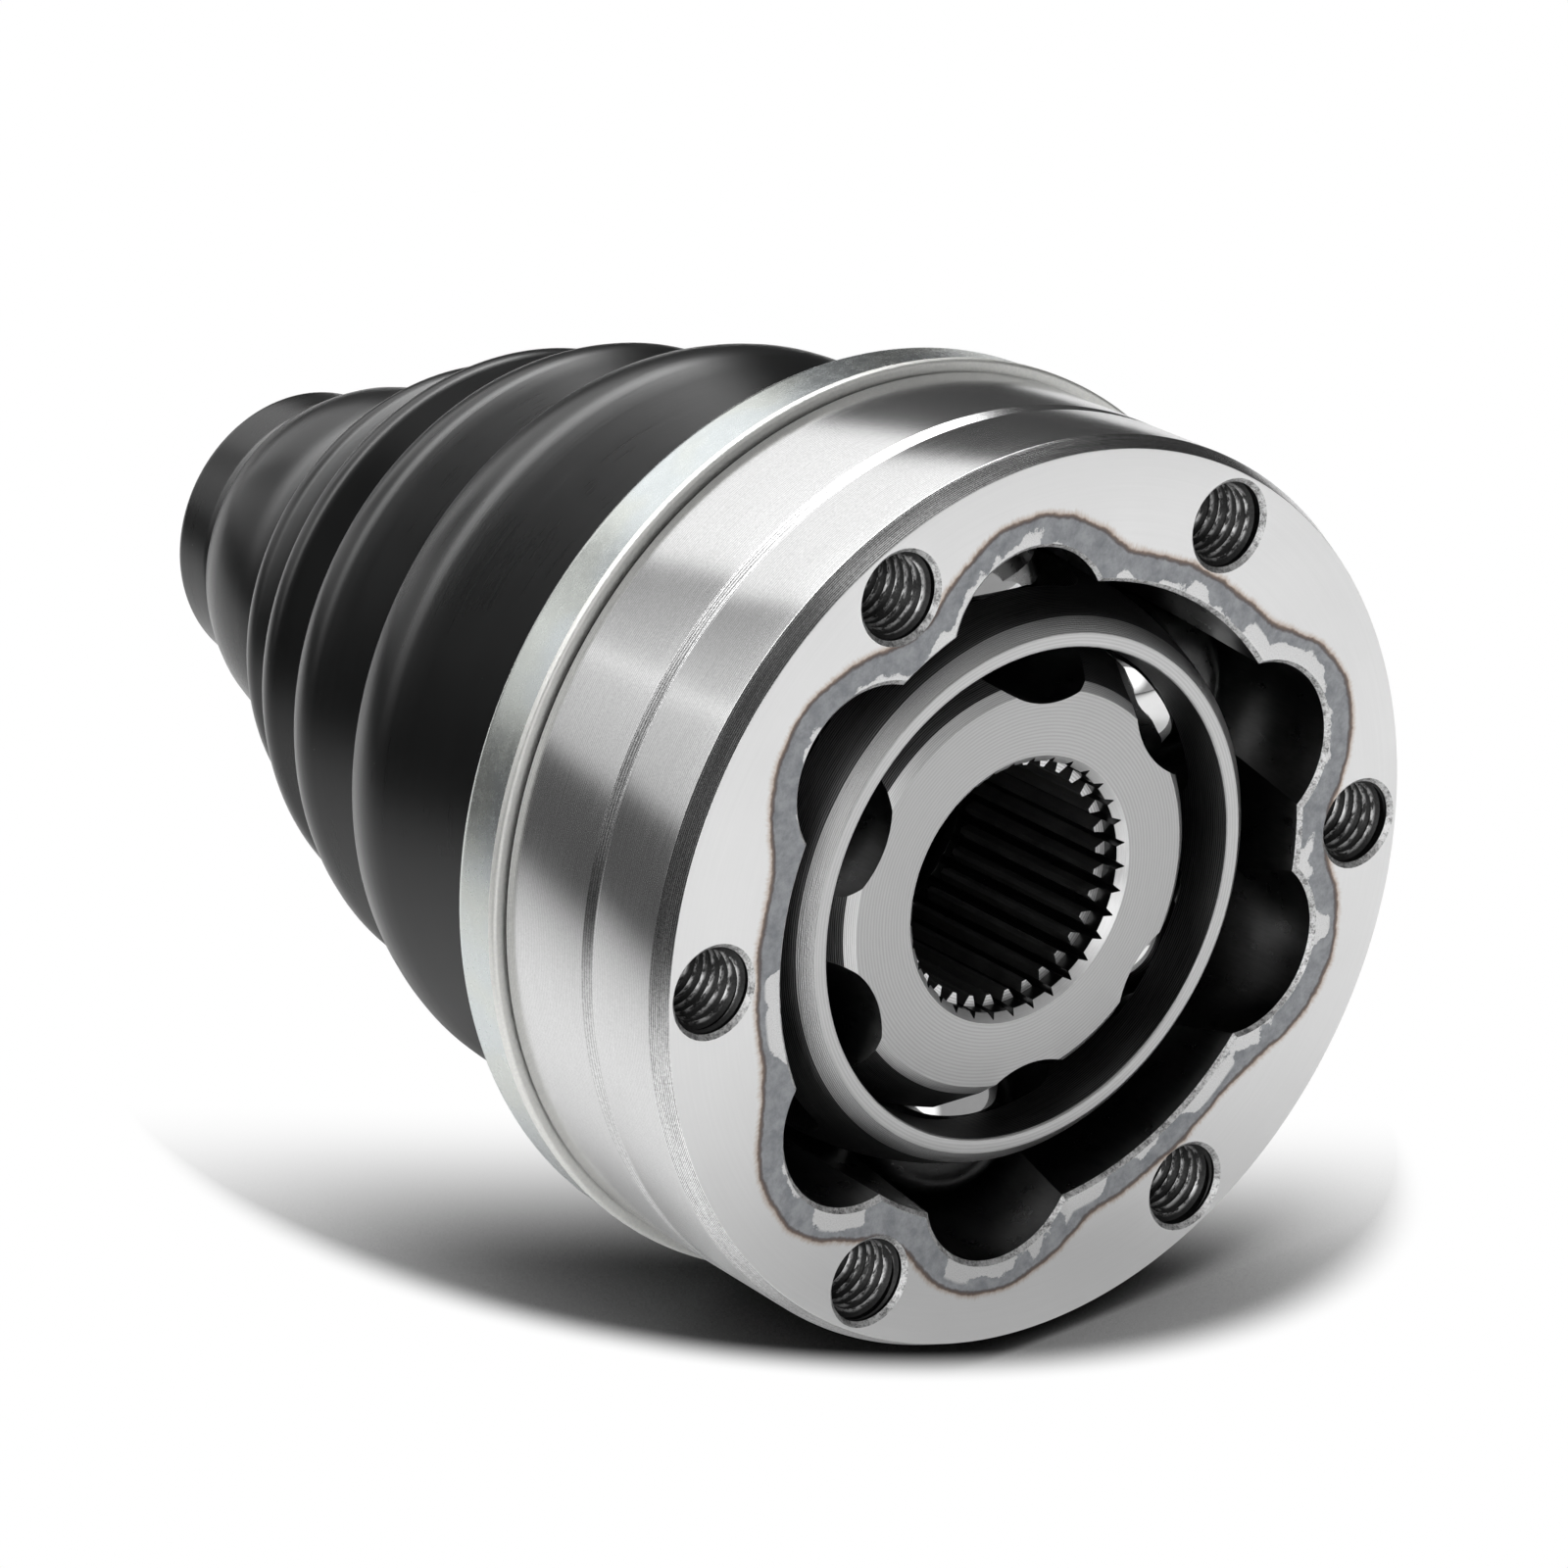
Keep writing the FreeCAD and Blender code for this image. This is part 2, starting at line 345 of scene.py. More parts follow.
@dataclass(frozen=True)
class TurnedSteel:
    """Steel turned round the axis, with fine lines along the cut."""

    name: str
    level: float = 0.62
    roughness: float = 0.2
    feed: float = 0.31
    line_depth: float = 0.0012
    contrast: float = 0.14
    grain: float = 0.0
    sparkle: float = 0.0

    def material(self) -> Material:
        """Builds the material: lines run round the axis, so they vary with y and the radius.

        Returns:
            The material.
        """
        plan = FinishPlan(self.name)
        along = plan.y + plan.radius
        uneven = plan.noise(plan.join(along * 0.8, plan.angle * 2.5, 0.0), 1.0, 2.0)
        wave = 0.5 + 0.5 * ((along + 0.25 * uneven) * (math.tau / self.feed)).function("SINE")
        scratch = plan.noise(plan.join(plan.y * 6, plan.radius * 6, plan.angle * 6), 1.0, 4.0, 0.7)
        drift = plan.cloud(0.06, 2.0)
        tone = 0.35 * wave + 0.5 * scratch + 0.15 * drift
        if self.sparkle:
            tone = tone + self.sparkle * (plan.cloud(3.4, 2.0, 0.7) - 0.5)
        dark = grey(self.level * (1 - 2 * self.contrast))
        light = grey(min(self.level * (1 + 2 * self.contrast), 0.97))
        colour = plan.mix(plan.step(tone, 0.25, 0.75), dark, light)
        rough = self.roughness + 0.1 * (scratch - 0.5) + 0.05 * (drift - 0.5)
        relief = 0.6 * wave + 0.7 * scratch
        if self.grain:
            relief = relief + self.grain * plan.cloud(4.5, 2.0, 0.7)
        return plan.shade(colour, rough, 1.0, plan.bump(relief, self.line_depth))


@dataclass(frozen=True)
class FlangeFace:
    """Satin turned face with the hardened zone round the lobed opening."""

    lobes: Tuple[Point2, ...]
    lobe_radius: float
    bore_radius: float
    name: str = "flange_face"
    level: float = 0.68
    zone_width: float = 3.4
    zone_blend: float = 6.0
    temper_width: float = 1.1

    def material(self) -> Material:
        """Builds the material from the distance to the rim of the opening.

        Returns:
            The material.
        """
        plan = FinishPlan(self.name)
        rim = plan.radius - self.bore_radius
        soft = rim
        for spot in self.lobes:
            edge = plan.away(spot) - self.lobe_radius
            rim = rim.least(edge)
            soft = soft.function("SMOOTH_MIN", edge, self.zone_blend)
        wobble = plan.cloud(0.22, 3.0, 0.6) - 0.5
        fine = plan.cloud(1.6, 4.0, 0.65) - 0.5
        depth = soft + 1.3 * wobble + 0.4 * fine
        zone = 1 - plan.step(depth, self.zone_width - 0.12, self.zone_width + 0.12)
        burr = plan.noise(plan.join(plan.radius * 0.4, plan.angle * 130, 0.0), 1.0, 3.0, 0.7)
        reach = self.zone_width + self.temper_width * (0.35 + 1.1 * burr)
        temper = 1 - plan.step((depth - self.zone_width) / (reach - self.zone_width), 0.0, 1.0)
        line = 1 - plan.step((depth - self.zone_width).function("ABSOLUTE"), 0.1, 0.42)
        rings = plan.noise(plan.join(plan.radius, plan.angle * 0.8, 0.0), 2.6, 4.0, 0.7)
        haze = plan.cloud(0.06, 2.0)
        ground = plan.mix(
            0.5 * rings + 0.5 * haze, grey(self.level * 0.9), grey(min(self.level * 1.1, 0.9))
        )
        mottle = plan.cloud(0.5, 5.0, 0.7)
        scale = plan.mix(
            plan.step(mottle, 0.3, 0.7), (0.23, 0.24, 0.256, 1), (0.37, 0.38, 0.395, 1)
        )
        tint = plan.mix(0.75 * temper, ground, (0.34, 0.22, 0.13, 1))
        colour = plan.mix(zone, tint, scale)
        colour = plan.mix(0.8 * line, colour, (0.1, 0.075, 0.07, 1))
        where = plan.cloud(0.12, 2.0)
        flake = plan.cloud(1.5, 6.0, 0.8)
        grit = plan.cloud(6.0, 3.0, 0.7)
        spread = 2.8 * plan.step(where, 0.42, 0.64)
        scraped = 1 - plan.step(rim + 2.6 * (flake - 0.5) - spread, -0.12, 0.04)
        scraped = scraped * (1 - plan.step(rim, 2.2, 2.7)) * plan.step(grit, 0.3, 0.36)
        colour = plan.mix(scraped, colour, plan.mix(grit, grey(0.42), grey(0.85)))
        rough = 0.3 + 0.3 * zone - 0.2 * scraped * zone + 0.1 * (rings - 0.5)
        metal = 1 - 0.3 * zone * (1 - scraped)
        relief = 0.5 * rings + zone * mottle + 1.6 * scraped * grit
        return plan.shade(colour, rough, metal, plan.bump(relief, 0.006))


@dataclass(frozen=True)
class SteelInPaintedShade:
    """Hardened steel of tracks, threads and teeth, painted grey-black as shade, with an oily sheen.
    """

    name: str
    level: float = 0.3
    roughness: float = 0.28

    def material(self) -> Material:
        """Builds the material: even steel painted dark as shade, with light drag marks along the
        axis.

        Returns:
            The material.
        """
        plan = FinishPlan(self.name)
        drag = plan.noise(plan.join(plan.x * 3, plan.y * 0.25, plan.z * 3), 1.0, 3.0, 0.6)
        stain = plan.cloud(0.35, 3.0, 0.6)
        # painted shade: the low level darkens the steel because the recesses lie in shade
        colour = plan.mix(
            0.5 * drag + 0.5 * stain, grey(self.level * 0.55), grey(self.level * 1.3)
        )
        rough = self.roughness + 0.2 * (stain - 0.5)
        return plan.shade(colour, rough, 1.0, plan.bump(drag, 0.002))


@dataclass(frozen=True)
class ScrapedSteel:
    """Chamfers cut by a tool that chattered: bright, uneven and grainy."""

    name: str

    def material(self) -> Material:
        """Builds the material: light and dark patches with a coarse grain.

        Returns:
            The material.
        """
        plan = FinishPlan(self.name)
        chatter = plan.cloud(0.9, 4.0, 0.75)
        grit = plan.cloud(4.0, 3.0, 0.7)
        colour = plan.mix(plan.step(0.6 * chatter + 0.4 * grit, 0.36, 0.58), grey(0.2), grey(0.78))
        return plan.shade(colour, 0.3 + 0.2 * grit, 1.0, plan.bump(grit + 2.0 * chatter, 0.05))


@dataclass(frozen=True)
class ThreadSteel:
    """Tapped holes painted dark as shade, with painted glints as light arcs on their crests."""

    holes: Tuple[Point2, ...]
    crest_radius: float
    root_radius: float
    name: str = "thread_steel"

    def material(self) -> Material:
        """Builds the material from the distance to the nearest hole's axis.

        Returns:
            The material.
        """
        plan = FinishPlan(self.name)
        reach = plan.away(self.holes[0])
        for spot in self.holes[1:]:
            reach = reach.least(plan.away(spot))
        height = self.root_radius - self.crest_radius
        low, high = self.crest_radius + 0.1 * height, self.crest_radius + 0.55 * height
        crest = 1 - plan.step(reach, low, high)
        glint_and_relief = plan.noise(plan.join(plan.x * 0.6, plan.y * 2, plan.z * 0.6), 1.0, 3.0, 0.7)
        grit = plan.cloud(3.0, 3.0, 0.7)
        # painted glints on the thread crests, over steel painted near black as shade in the holes
        bright = crest * plan.step(glint_and_relief, 0.4, 0.62)
        colour = plan.mix(bright, plan.mix(grit, grey(0.02), grey(0.075)), grey(0.6))
        rough = 0.42 - 0.12 * bright
        return plan.shade(colour, rough, 1.0, plan.bump(grit + glint_and_relief, 0.02))


@dataclass(frozen=True)
class BallSteel:
    """Polished bearing steel under a thin film of oil."""

    name: str = "ball_steel"

    def material(self) -> Material:
        """Builds the material: a mirror with faint smears of oil.

        Returns:
            The material.
        """
        plan = FinishPlan(self.name)
        smear = plan.cloud(0.25, 3.0, 0.6)
        colour = plan.mix(smear, grey(0.6), grey(0.78))
        return plan.shade(colour, 0.05 + 0.08 * plan.step(smear, 0.5, 0.75), 1.0)


@dataclass(frozen=True)
class ZincSheet:
    """Bright zinc plating on pressed sheet, a little blue and yellow."""

    name: str = "zinc_sheet"
    lip_end: float = 30.7

    def material(self) -> Material:
        """Builds the material: grain along the pull of the press, tints in broad patches.

        Returns:
            The material.
        """
        plan = FinishPlan(self.name)
        around = plan.join(plan.y * 0.8, plan.radius * 0.8, plan.angle * 30)
        pull = plan.noise(around, 1.0, 4.0, 0.65)
        patches = plan.cloud(0.09, 2.0)
        grain = plan.cloud(3.0, 3.0, 0.7)
        cool = plan.mix(pull, (0.54, 0.574, 0.58, 1), (0.64, 0.675, 0.68, 1))
        warm = plan.mix(pull, (0.555, 0.577, 0.552, 1), (0.655, 0.68, 0.65, 1))
        colour = plan.mix(plan.step(patches, 0.4, 0.6), cool, warm)
        lip = 1 - plan.step(plan.y, self.lip_end - 0.1, self.lip_end + 0.2)
        # painted highlight: the rolled lip is coloured brighter; its grain and roughness are its
        # own
        painted_lip_highlight = plan.mix(grain, grey(0.66), (0.93, 0.93, 0.88, 1))
        colour = plan.mix(lip, colour, painted_lip_highlight)
        rough = 0.26 + 0.12 * (grain - 0.5) + 0.12 * (pull - 0.5) + 0.24 * lip
        relief = 0.6 * pull + 0.3 * grain + 4.0 * lip * grain
        return plan.shade(colour, rough, 1.0, plan.bump(relief, 0.012))


@dataclass(frozen=True)
class BootRubber:
    """Moulded black rubber with a satin sheen."""

    name: str = "boot_rubber"
    level: float = 0.0035
    gloss: float = 0.5

    def material(self) -> Material:
        """Builds the material: fine mould grain, faint bloom and a few specks of dust.

        Returns:
            The material.
        """
        plan = FinishPlan(self.name)
        grain = plan.cloud(5.0, 3.0, 0.6)
        bloom = plan.cloud(0.05, 3.0, 0.6)
        drawn = plan.noise(plan.join(plan.y * 2, plan.radius * 2, plan.angle * 2), 1.0, 3.0, 0.6)
        base = plan.mix(
            0.6 * bloom + 0.4 * drawn, grey(self.level * 0.7), grey(self.level * 1.7, -0.04)
        )
        gate = plan.step(plan.cloud(0.08, 2.0), 0.52, 0.6)
        dust = plan.specks(0.4, 0.04) * gate
        colour = plan.mix(0.35 * dust, base, grey(0.3))
        rough = 0.29 + 0.1 * (bloom - 0.5) + 0.06 * (drawn - 0.5)
        relief = plan.bump(grain + drawn, 0.006)
        return plan.shade(colour, rough, 0.0, relief, Specular_IOR_Level=self.gloss)


@dataclass(frozen=True)
class SealRubber:
    """Black sealing rubber pressed into a thin ring."""

    name: str = "seal_rubber"

    def material(self) -> Material:
        """Builds the material: dull black with a fine grain.

        Returns:
            The material.
        """
        plan = FinishPlan(self.name)
        grain = plan.cloud(2.5, 3.0, 0.6)
        colour = plan.mix(grain, grey(0.008), grey(0.02))
        return plan.shade(colour, 0.5 + 0.15 * (grain - 0.5), 0.0, plan.bump(grain, 0.01))


class GeometryPlan(Plan):
    """A geometry node tree with named inputs for its sizes."""

    def __init__(self, name: str) -> None:
        """Makes a tree that takes and gives geometry.

        Args:
            name: the tree's name.
        """
        tree = bpy.data.node_groups.new(name, "GeometryNodeTree")
        super().__init__(tree)
        tree.interface.new_socket("Geometry", in_out="OUTPUT", socket_type="NodeSocketGeometry")
        tree.interface.new_socket("Geometry", in_out="INPUT", socket_type="NodeSocketGeometry")
        self.inlet = self.node("NodeGroupInput")
        self.given = Value(self, self.inlet.outputs[0])
        self.index = self.value("GeometryNodeInputIndex")
        self.x, self.y, self.z = self.split(self.value("GeometryNodeInputPosition"))

    def size(self, name: str, kind: str = "NodeSocketFloat") -> Value:
        """Adds a named input and returns it."""
        self.tree.interface.new_socket(name, in_out="INPUT", socket_type=kind)
        return Value(self, self.inlet.outputs[name])

    def moved(self, geometry: Value, place: Value) -> Value:
        """The geometry with each point at a new place.

        Args:
            geometry: what is moved.
            place: the new places.

        Returns:
            The moved geometry.
        """
        return self.value(
            "GeometryNodeSetPosition", None, {"Geometry": geometry, "Position": place}
        )

    def sheet(self, columns: Operand, rows: Operand) -> Value:
        """A flat sheet, one metre each way, with that many columns and rows of points."""
        size = {"Size X": 1.0, "Size Y": 1.0, "Vertices X": columns, "Vertices Y": rows}
        return self.value("GeometryNodeMeshGrid", None, size)

    def rolled(self, sheet: Value, radius: Value, turn: Value, along: Value) -> bpy.types.NodeTree:
        """Rolls a sheet round the axis, joins its edges and ends the tree.

        Args:
            sheet: the sheet.
            radius: each point's distance from the axis.
            turn: its angle in radians.
            along: its y.

        Returns:
            The tree.
        """
        place = self.join(radius * turn.function("COSINE"), along, radius * turn.function("SINE"))
        values = {"Geometry": self.moved(sheet, place), "Distance": MERGE}
        return self.finish(self.value("GeometryNodeMergeByDistance", None, values))

    def finish(self, geometry: Value) -> bpy.types.NodeTree:
        """Ends the tree in plain geometry with the Material input on it.

        Args:
            geometry: what the tree gives.

        Returns:
            The tree.
        """
        material = self.size("Material", "NodeSocketMaterial")
        solid = self.value("GeometryNodeRealizeInstances", None, {"Geometry": geometry})
        dressed = self.value(
            "GeometryNodeSetMaterial", None, {"Geometry": solid, "Material": material}
        )
        self.node("NodeGroupOutput", None, {0: dressed})
        return self.tree


class Rule(Enum):
    """The rules by which geometry nodes make the pieces."""

    LATHE = "turned_outline"
    RING = "ring_of_copies"
    HELIX = "thread_ridge"


def lathe_tree() -> bpy.types.NodeTree:
    """Tree that turns the object's own outline, a row of points (radius, y), round the axis.

    Returns:
        The tree, with the inputs Points, Segments and Material.
    """
    plan = GeometryPlan(Rule.LATHE.value)
    points = plan.size("Points", "NodeSocketInt")
    segments = plan.size("Segments", "NodeSocketInt")
    sheet = plan.sheet(segments + 1, points)
    turn = (plan.x + 0.5) * math.tau
    row = ((plan.y + 0.5) * (points - 1)).function("ROUND")
    outline = plan.value(
        "GeometryNodeSampleIndex",
        {"data_type": "FLOAT_VECTOR", "domain": "POINT"},
        {"Geometry": plan.given, "Value": plan.value("GeometryNodeInputPosition"), "Index": row},
    )
    radius, along, _ = plan.split(outline)
    return plan.rolled(sheet, radius, turn, along)


def ring_tree() -> bpy.types.NodeTree:
    """Tree that repeats the object's mesh round the axis, every second copy leaning the other way.

    Returns:
        The tree, with the inputs Count, First Angle, Step, Pitch Radius, Mid Plane, Skew and
        Material.
    """
    plan = GeometryPlan(Rule.RING.value)
    count = plan.size("Count", "NodeSocketInt")
    first = plan.size("First Angle")
    step = plan.size("Step")
    pitch = plan.size("Pitch Radius")
    middle = plan.size("Mid Plane")
    skew = plan.size("Skew")
    spots = plan.value("GeometryNodePoints", None, {"Count": count})
    turn = plan.join(0.0, -(first + plan.index * step), 0.0)
    rotation = plan.value("FunctionNodeEulerToRotation", None, {0: turn})
    odd = plan.index % 2.0
    sets = []
    for chosen, sign in ((odd < 0.5, 1.0), (odd > 0.5, -1.0)):
        shear = sign * (plan.y - middle) * skew.function("TANGENT")
        lean = plan.z / skew.function("COSINE") + shear
        copy = plan.moved(plan.given, plan.join(plan.x + pitch, plan.y, lean))
        sets.append(plan.value(
            "GeometryNodeInstanceOnPoints",
            None,
            {"Points": spots, "Selection": chosen, "Instance": copy, "Rotation": rotation},
        ))
    joined = plan.node("GeometryNodeJoinGeometry")
    for part in sets:
        plan.tree.links.new(part.socket, joined.inputs[0])
    return plan.finish(Value(plan, joined.outputs[0]))


def helix_tree() -> bpy.types.NodeTree:
    """Tree that winds a pointed ridge on the wall of a hole along Y, thinning out at both ends.

    Returns:
        The tree, with the inputs Turns, Steps, Pitch, Wall Radius, Depth, Start and Material.
    """
    plan = GeometryPlan(Rule.HELIX.value)
    turns = plan.size("Turns")
    steps = plan.size("Steps", "NodeSocketInt")
    pitch = plan.size("Pitch")
    wall = plan.size("Wall Radius")
    depth = plan.size("Depth")
    start = plan.size("Start")
    corners = 4
    thinning = 24  # each end thins out over 1/24 of the length
    half_width = 0.46  # of the pitch
    sunk = 0.1  # of the depth, behind the wall
    sheet = plan.sheet(steps + 1, corners + 1)
    along = plan.x + 0.5
    corner = ((plan.y + 0.5) * corners).function("ROUND")
    ends = (thinning * along).least(thinning * (1 - along)).least(1.0)
    side = (corner * (math.pi / 2)).function("SINE") * half_width * pitch
    inward = (corner * (math.pi / 2)).function("COSINE")
    reach = (inward > 0.5) * depth - (inward < -0.5) * sunk * depth
    radius = wall - ends * reach
    turn = along * turns * math.tau
    rise = start + along * turns * pitch + ends * side
    return plan.rolled(sheet, radius, turn, rise)


class Workshop:
    """Runs the geometry rules and the cuts, and hands back plain meshes."""

    def __init__(self) -> None:
        """Builds each rule's tree once."""
        self.trees = {Rule.LATHE: lathe_tree(), Rule.RING: ring_tree(), Rule.HELIX: helix_tree()}

    @staticmethod
    def stand(mesh: Mesh, name: str) -> bpy.types.Object:
        """Puts a mesh into the scene as an object at the origin.

        Args:
            mesh: the mesh.
            name: the object's name.

        Returns:
            The object.
        """
        piece = bpy.data.objects.new(name, mesh)
        bpy.context.scene.collection.objects.link(piece)
        return piece

    @staticmethod
    def plain(piece: bpy.types.Object) -> Mesh:
        """Takes the evaluated mesh of an object and removes the object.

        Args:
            piece: the object, with its modifiers.

        Returns:
            A plain mesh.
        """
        graph = bpy.context.evaluated_depsgraph_get()
        mesh = bpy.data.meshes.new_from_object(piece.evaluated_get(graph))
        bpy.data.objects.remove(piece)
        return mesh

    def run(self, rule: Rule, mesh: Mesh, sizes: Dict[str, Any]) -> Mesh:
        """Runs one rule on a mesh.

        Args:
            rule: which tree.
            mesh: what the tree is given.
            sizes: a value for each named input.

        Returns:
            The plain result.
        """
        piece = self.stand(mesh, rule.value)
        modifier = piece.modifiers.new(rule.value, "NODES")
        tree = self.trees[rule]
        modifier.node_group = tree
        for item in tree.interface.items_tree:
            if item.in_out == "INPUT" and item.name in sizes:
                modifier[item.identifier] = sizes[item.name]
        return self.plain(piece)

    def turned(self, outline: Sequence[Point2], segments: int) -> Mesh:
        """Turns an outline round the axis.

        Args:
            outline: points (y, radius) in millimetres; the first is repeated at a closed end.
            segments: steps round the axis.

        Returns:
            The closed mesh, faces outward.
        """
        mesh = bpy.data.meshes.new("outline")
        points = [(r * MM, y * MM, 0.0) for y, r in outline]
        edges = [(i, i + 1) for i in range(len(points) - 1)]
        mesh.from_pydata(points, edges, [])
        turned = self.run(Rule.LATHE, mesh, {"Points": len(points), "Segments": segments})
        return outward(turned)

    def ring(
        self,
        mesh: Mesh,
        count: int,
        first: float,
        pitch: float = 0.0,
        middle: float = 0.0,
        skew: float = 0.0,
    ) -> Mesh:
        """Repeats a mesh round the axis.

        Args:
            mesh: one copy, standing on the axis, with +X away from the axis.
            count: how many copies.
            first: angle of the first copy in degrees.
            pitch: distance from the axis in millimetres.
            middle: y where a leaning copy stays in place, in millimetres.
            skew: lean of the copies in degrees.

        Returns:
            All copies in one mesh.
        """
        return self.run(Rule.RING, mesh, {
            "Count": count,
            "First Angle": math.radians(first),
            "Step": math.radians(360 / count),
            "Pitch Radius": pitch * MM,
            "Mid Plane": middle * MM,
            "Skew": math.radians(skew),
        })

    def cut(self, mesh: Mesh, *cutters: Mesh) -> Mesh:
        """Cuts closed meshes out of a closed mesh.

        Args:
            mesh: what is cut.
            cutters: what is cut away.

        Returns:
            The cut mesh.
        """
        piece = self.stand(mesh, "blank")
        helpers = []
        for cutter in cutters:
            helper = self.stand(cutter, "cutter")
            modifier = piece.modifiers.new("cut", "BOOLEAN")
            modifier.operation = "DIFFERENCE"
            modifier.solver = "MANIFOLD"
            modifier.object = helper
            helpers.append(helper)
        result = self.plain(piece)
        for helper in helpers:
            bpy.data.objects.remove(helper)
        return result


def outward(mesh: Mesh) -> Mesh:
    """Dissolves what has no size in a closed mesh and turns its faces outward.

    Args:
        mesh: the closed mesh.

    Returns:
        The same mesh.
    """
    work = bmesh.new()
    work.from_mesh(mesh)
    bmesh.ops.dissolve_degenerate(work, dist=0.0005 * MM, edges=work.edges)
    bmesh.ops.recalc_face_normals(work, faces=work.faces)
    work.to_mesh(mesh)
    work.free()
    return mesh


def prism(name: str, ends: Sequence[Sequence[Point3]]) -> Mesh:
    """A closed mesh between two loops of corners.

    Args:
        name: the mesh's name.
        ends: the two loops, as long as each other, in millimetres.

    Returns:
        The mesh, faces outward.
    """
    work = bmesh.new()
    near, far = [
        [work.verts.new((x * MM, y * MM, z * MM)) for x, y, z in loop] for loop in ends
    ]
    for i in range(len(near)):
        j = (i + 1) % len(near)
        work.faces.new((near[i], near[j], far[j], far[i]))
    work.faces.new(near)
    work.faces.new(list(reversed(far)))
    bmesh.ops.recalc_face_normals(work, faces=work.faces)
    mesh = bpy.data.meshes.new(name)
    work.to_mesh(mesh)
    work.free()
    return mesh


def rounded(corners: Sequence[Point3], step: float = 18.0, closed: bool = True) -> List[Point2]:
    """Points along an outline whose corners are rounded.

    Args:
        corners: (y, radius, rounding) in millimetres.
        step: largest turn between two points of a rounding, in degrees.
        closed: join the end to the start.

    Returns:
        Points (y, radius), the first repeated at the end of a closed outline.
    """
    spots = [Vector((y, r)) for y, r, _ in corners]
    points: List[Point2] = []
    last = len(corners) - 1
    for i, (y, r, rounding) in enumerate(corners):
        if rounding <= 0 or (not closed and i in (0, last)):
            points.append((y, r))
            continue
        here = spots[i]
        back = spots[i - 1] - here
        ahead = spots[(i + 1) % len(spots)] - here
        half = back.angle(ahead) / 2
        if half > math.radians(89.5):
            points.append((y, r))
            continue
        reach = min(rounding / math.tan(half), 0.49 * back.length, 0.49 * ahead.length)
        size = reach * math.tan(half)
        middle = (back.normalized() + ahead.normalized()).normalized()
        centre = here + middle * (size / math.sin(half))
        enter = here + back.normalized() * reach - centre
        leave = here + ahead.normalized() * reach - centre
        turn = math.pi - 2 * half
        count = max(2, math.ceil(math.degrees(turn) / step))
        for k in range(count + 1):
            share = k / count
            blend = enter * math.sin((1 - share) * turn) + leave * math.sin(share * turn)
            spot = centre + blend / math.sin(turn)
            points.append((spot.x, spot.y))
    if closed:
        points.append(points[0])
    return points


def divided(outline: Sequence[Point2], longest: float) -> List[Point2]:
    """The same outline with no run longer than a given length.

    Args:
        outline: points (y, radius) in millimetres.
        longest: the longest run allowed.

    Returns:
        The points, with more between them.
    """
    points = [outline[0]]
    for (y0, r0), (y1, r1) in zip(outline, outline[1:]):
        count = max(1, math.ceil(math.hypot(y1 - y0, r1 - r0) / longest))
        for k in range(1, count + 1):
            points.append((y0 + (y1 - y0) * k / count, r0 + (r1 - r0) * k / count))
    return points


def arc(centre: Point2, radius: float, start: float, end: float, count: int) -> List[Point2]:
    """Points (y, radius) on an arc.

    Args:
        centre: (y, radius) of its centre.
        radius: its size.
        start: first angle in degrees, from +y towards a growing radius.
        end: last angle in degrees.
        count: number of steps.

    Returns:
        The points.
    """
    angles = [math.radians(start + (end - start) * k / count) for k in range(count + 1)]
    return [
        (centre[0] + radius * math.cos(a), centre[1] + radius * math.sin(a)) for a in angles
    ]


def smooth(mesh: Mesh, crease: float = 28.0) -> None:
    """Shades a mesh smooth, except over edges sharper than the crease in degrees."""
    mesh.shade_smooth()
    mesh.set_sharp_from_angle(angle=math.radians(crease))


FaceRule = Callable[[Vector, Vector], int]


def hand_over(
    mesh: Mesh,
    name: str,
    finishes: Sequence[Material],
    rule: Optional[FaceRule],
    body: str,
    nodes: Sequence[str] = (),
) -> bpy.types.Object:
    """Dresses a mesh and puts it on its body.

    Args:
        mesh: the plain mesh in metres.
        name: the piece's name.
        finishes: its materials.
        rule: gives a face's material number from its middle, in millimetres, and its normal.
        body: the body that it rides on.
        nodes: the solids that it stands for.

    Returns:
        The piece.
    """
    mesh.materials.clear()
    for finish in finishes:
        mesh.materials.append(finish)
    for face in mesh.polygons:
        face.material_index = rule(face.center / MM, face.normal) if rule else 0
    smooth(mesh)
    mesh.name = name
    piece = Workshop.stand(mesh, name)
    if nodes:
        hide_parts(*nodes)
    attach(piece, body)
    triangles = sum(len(face.vertices) - 2 for face in mesh.polygons)
    LOG.info("%s: %d triangles on %s", name, triangles, body)
    return piece


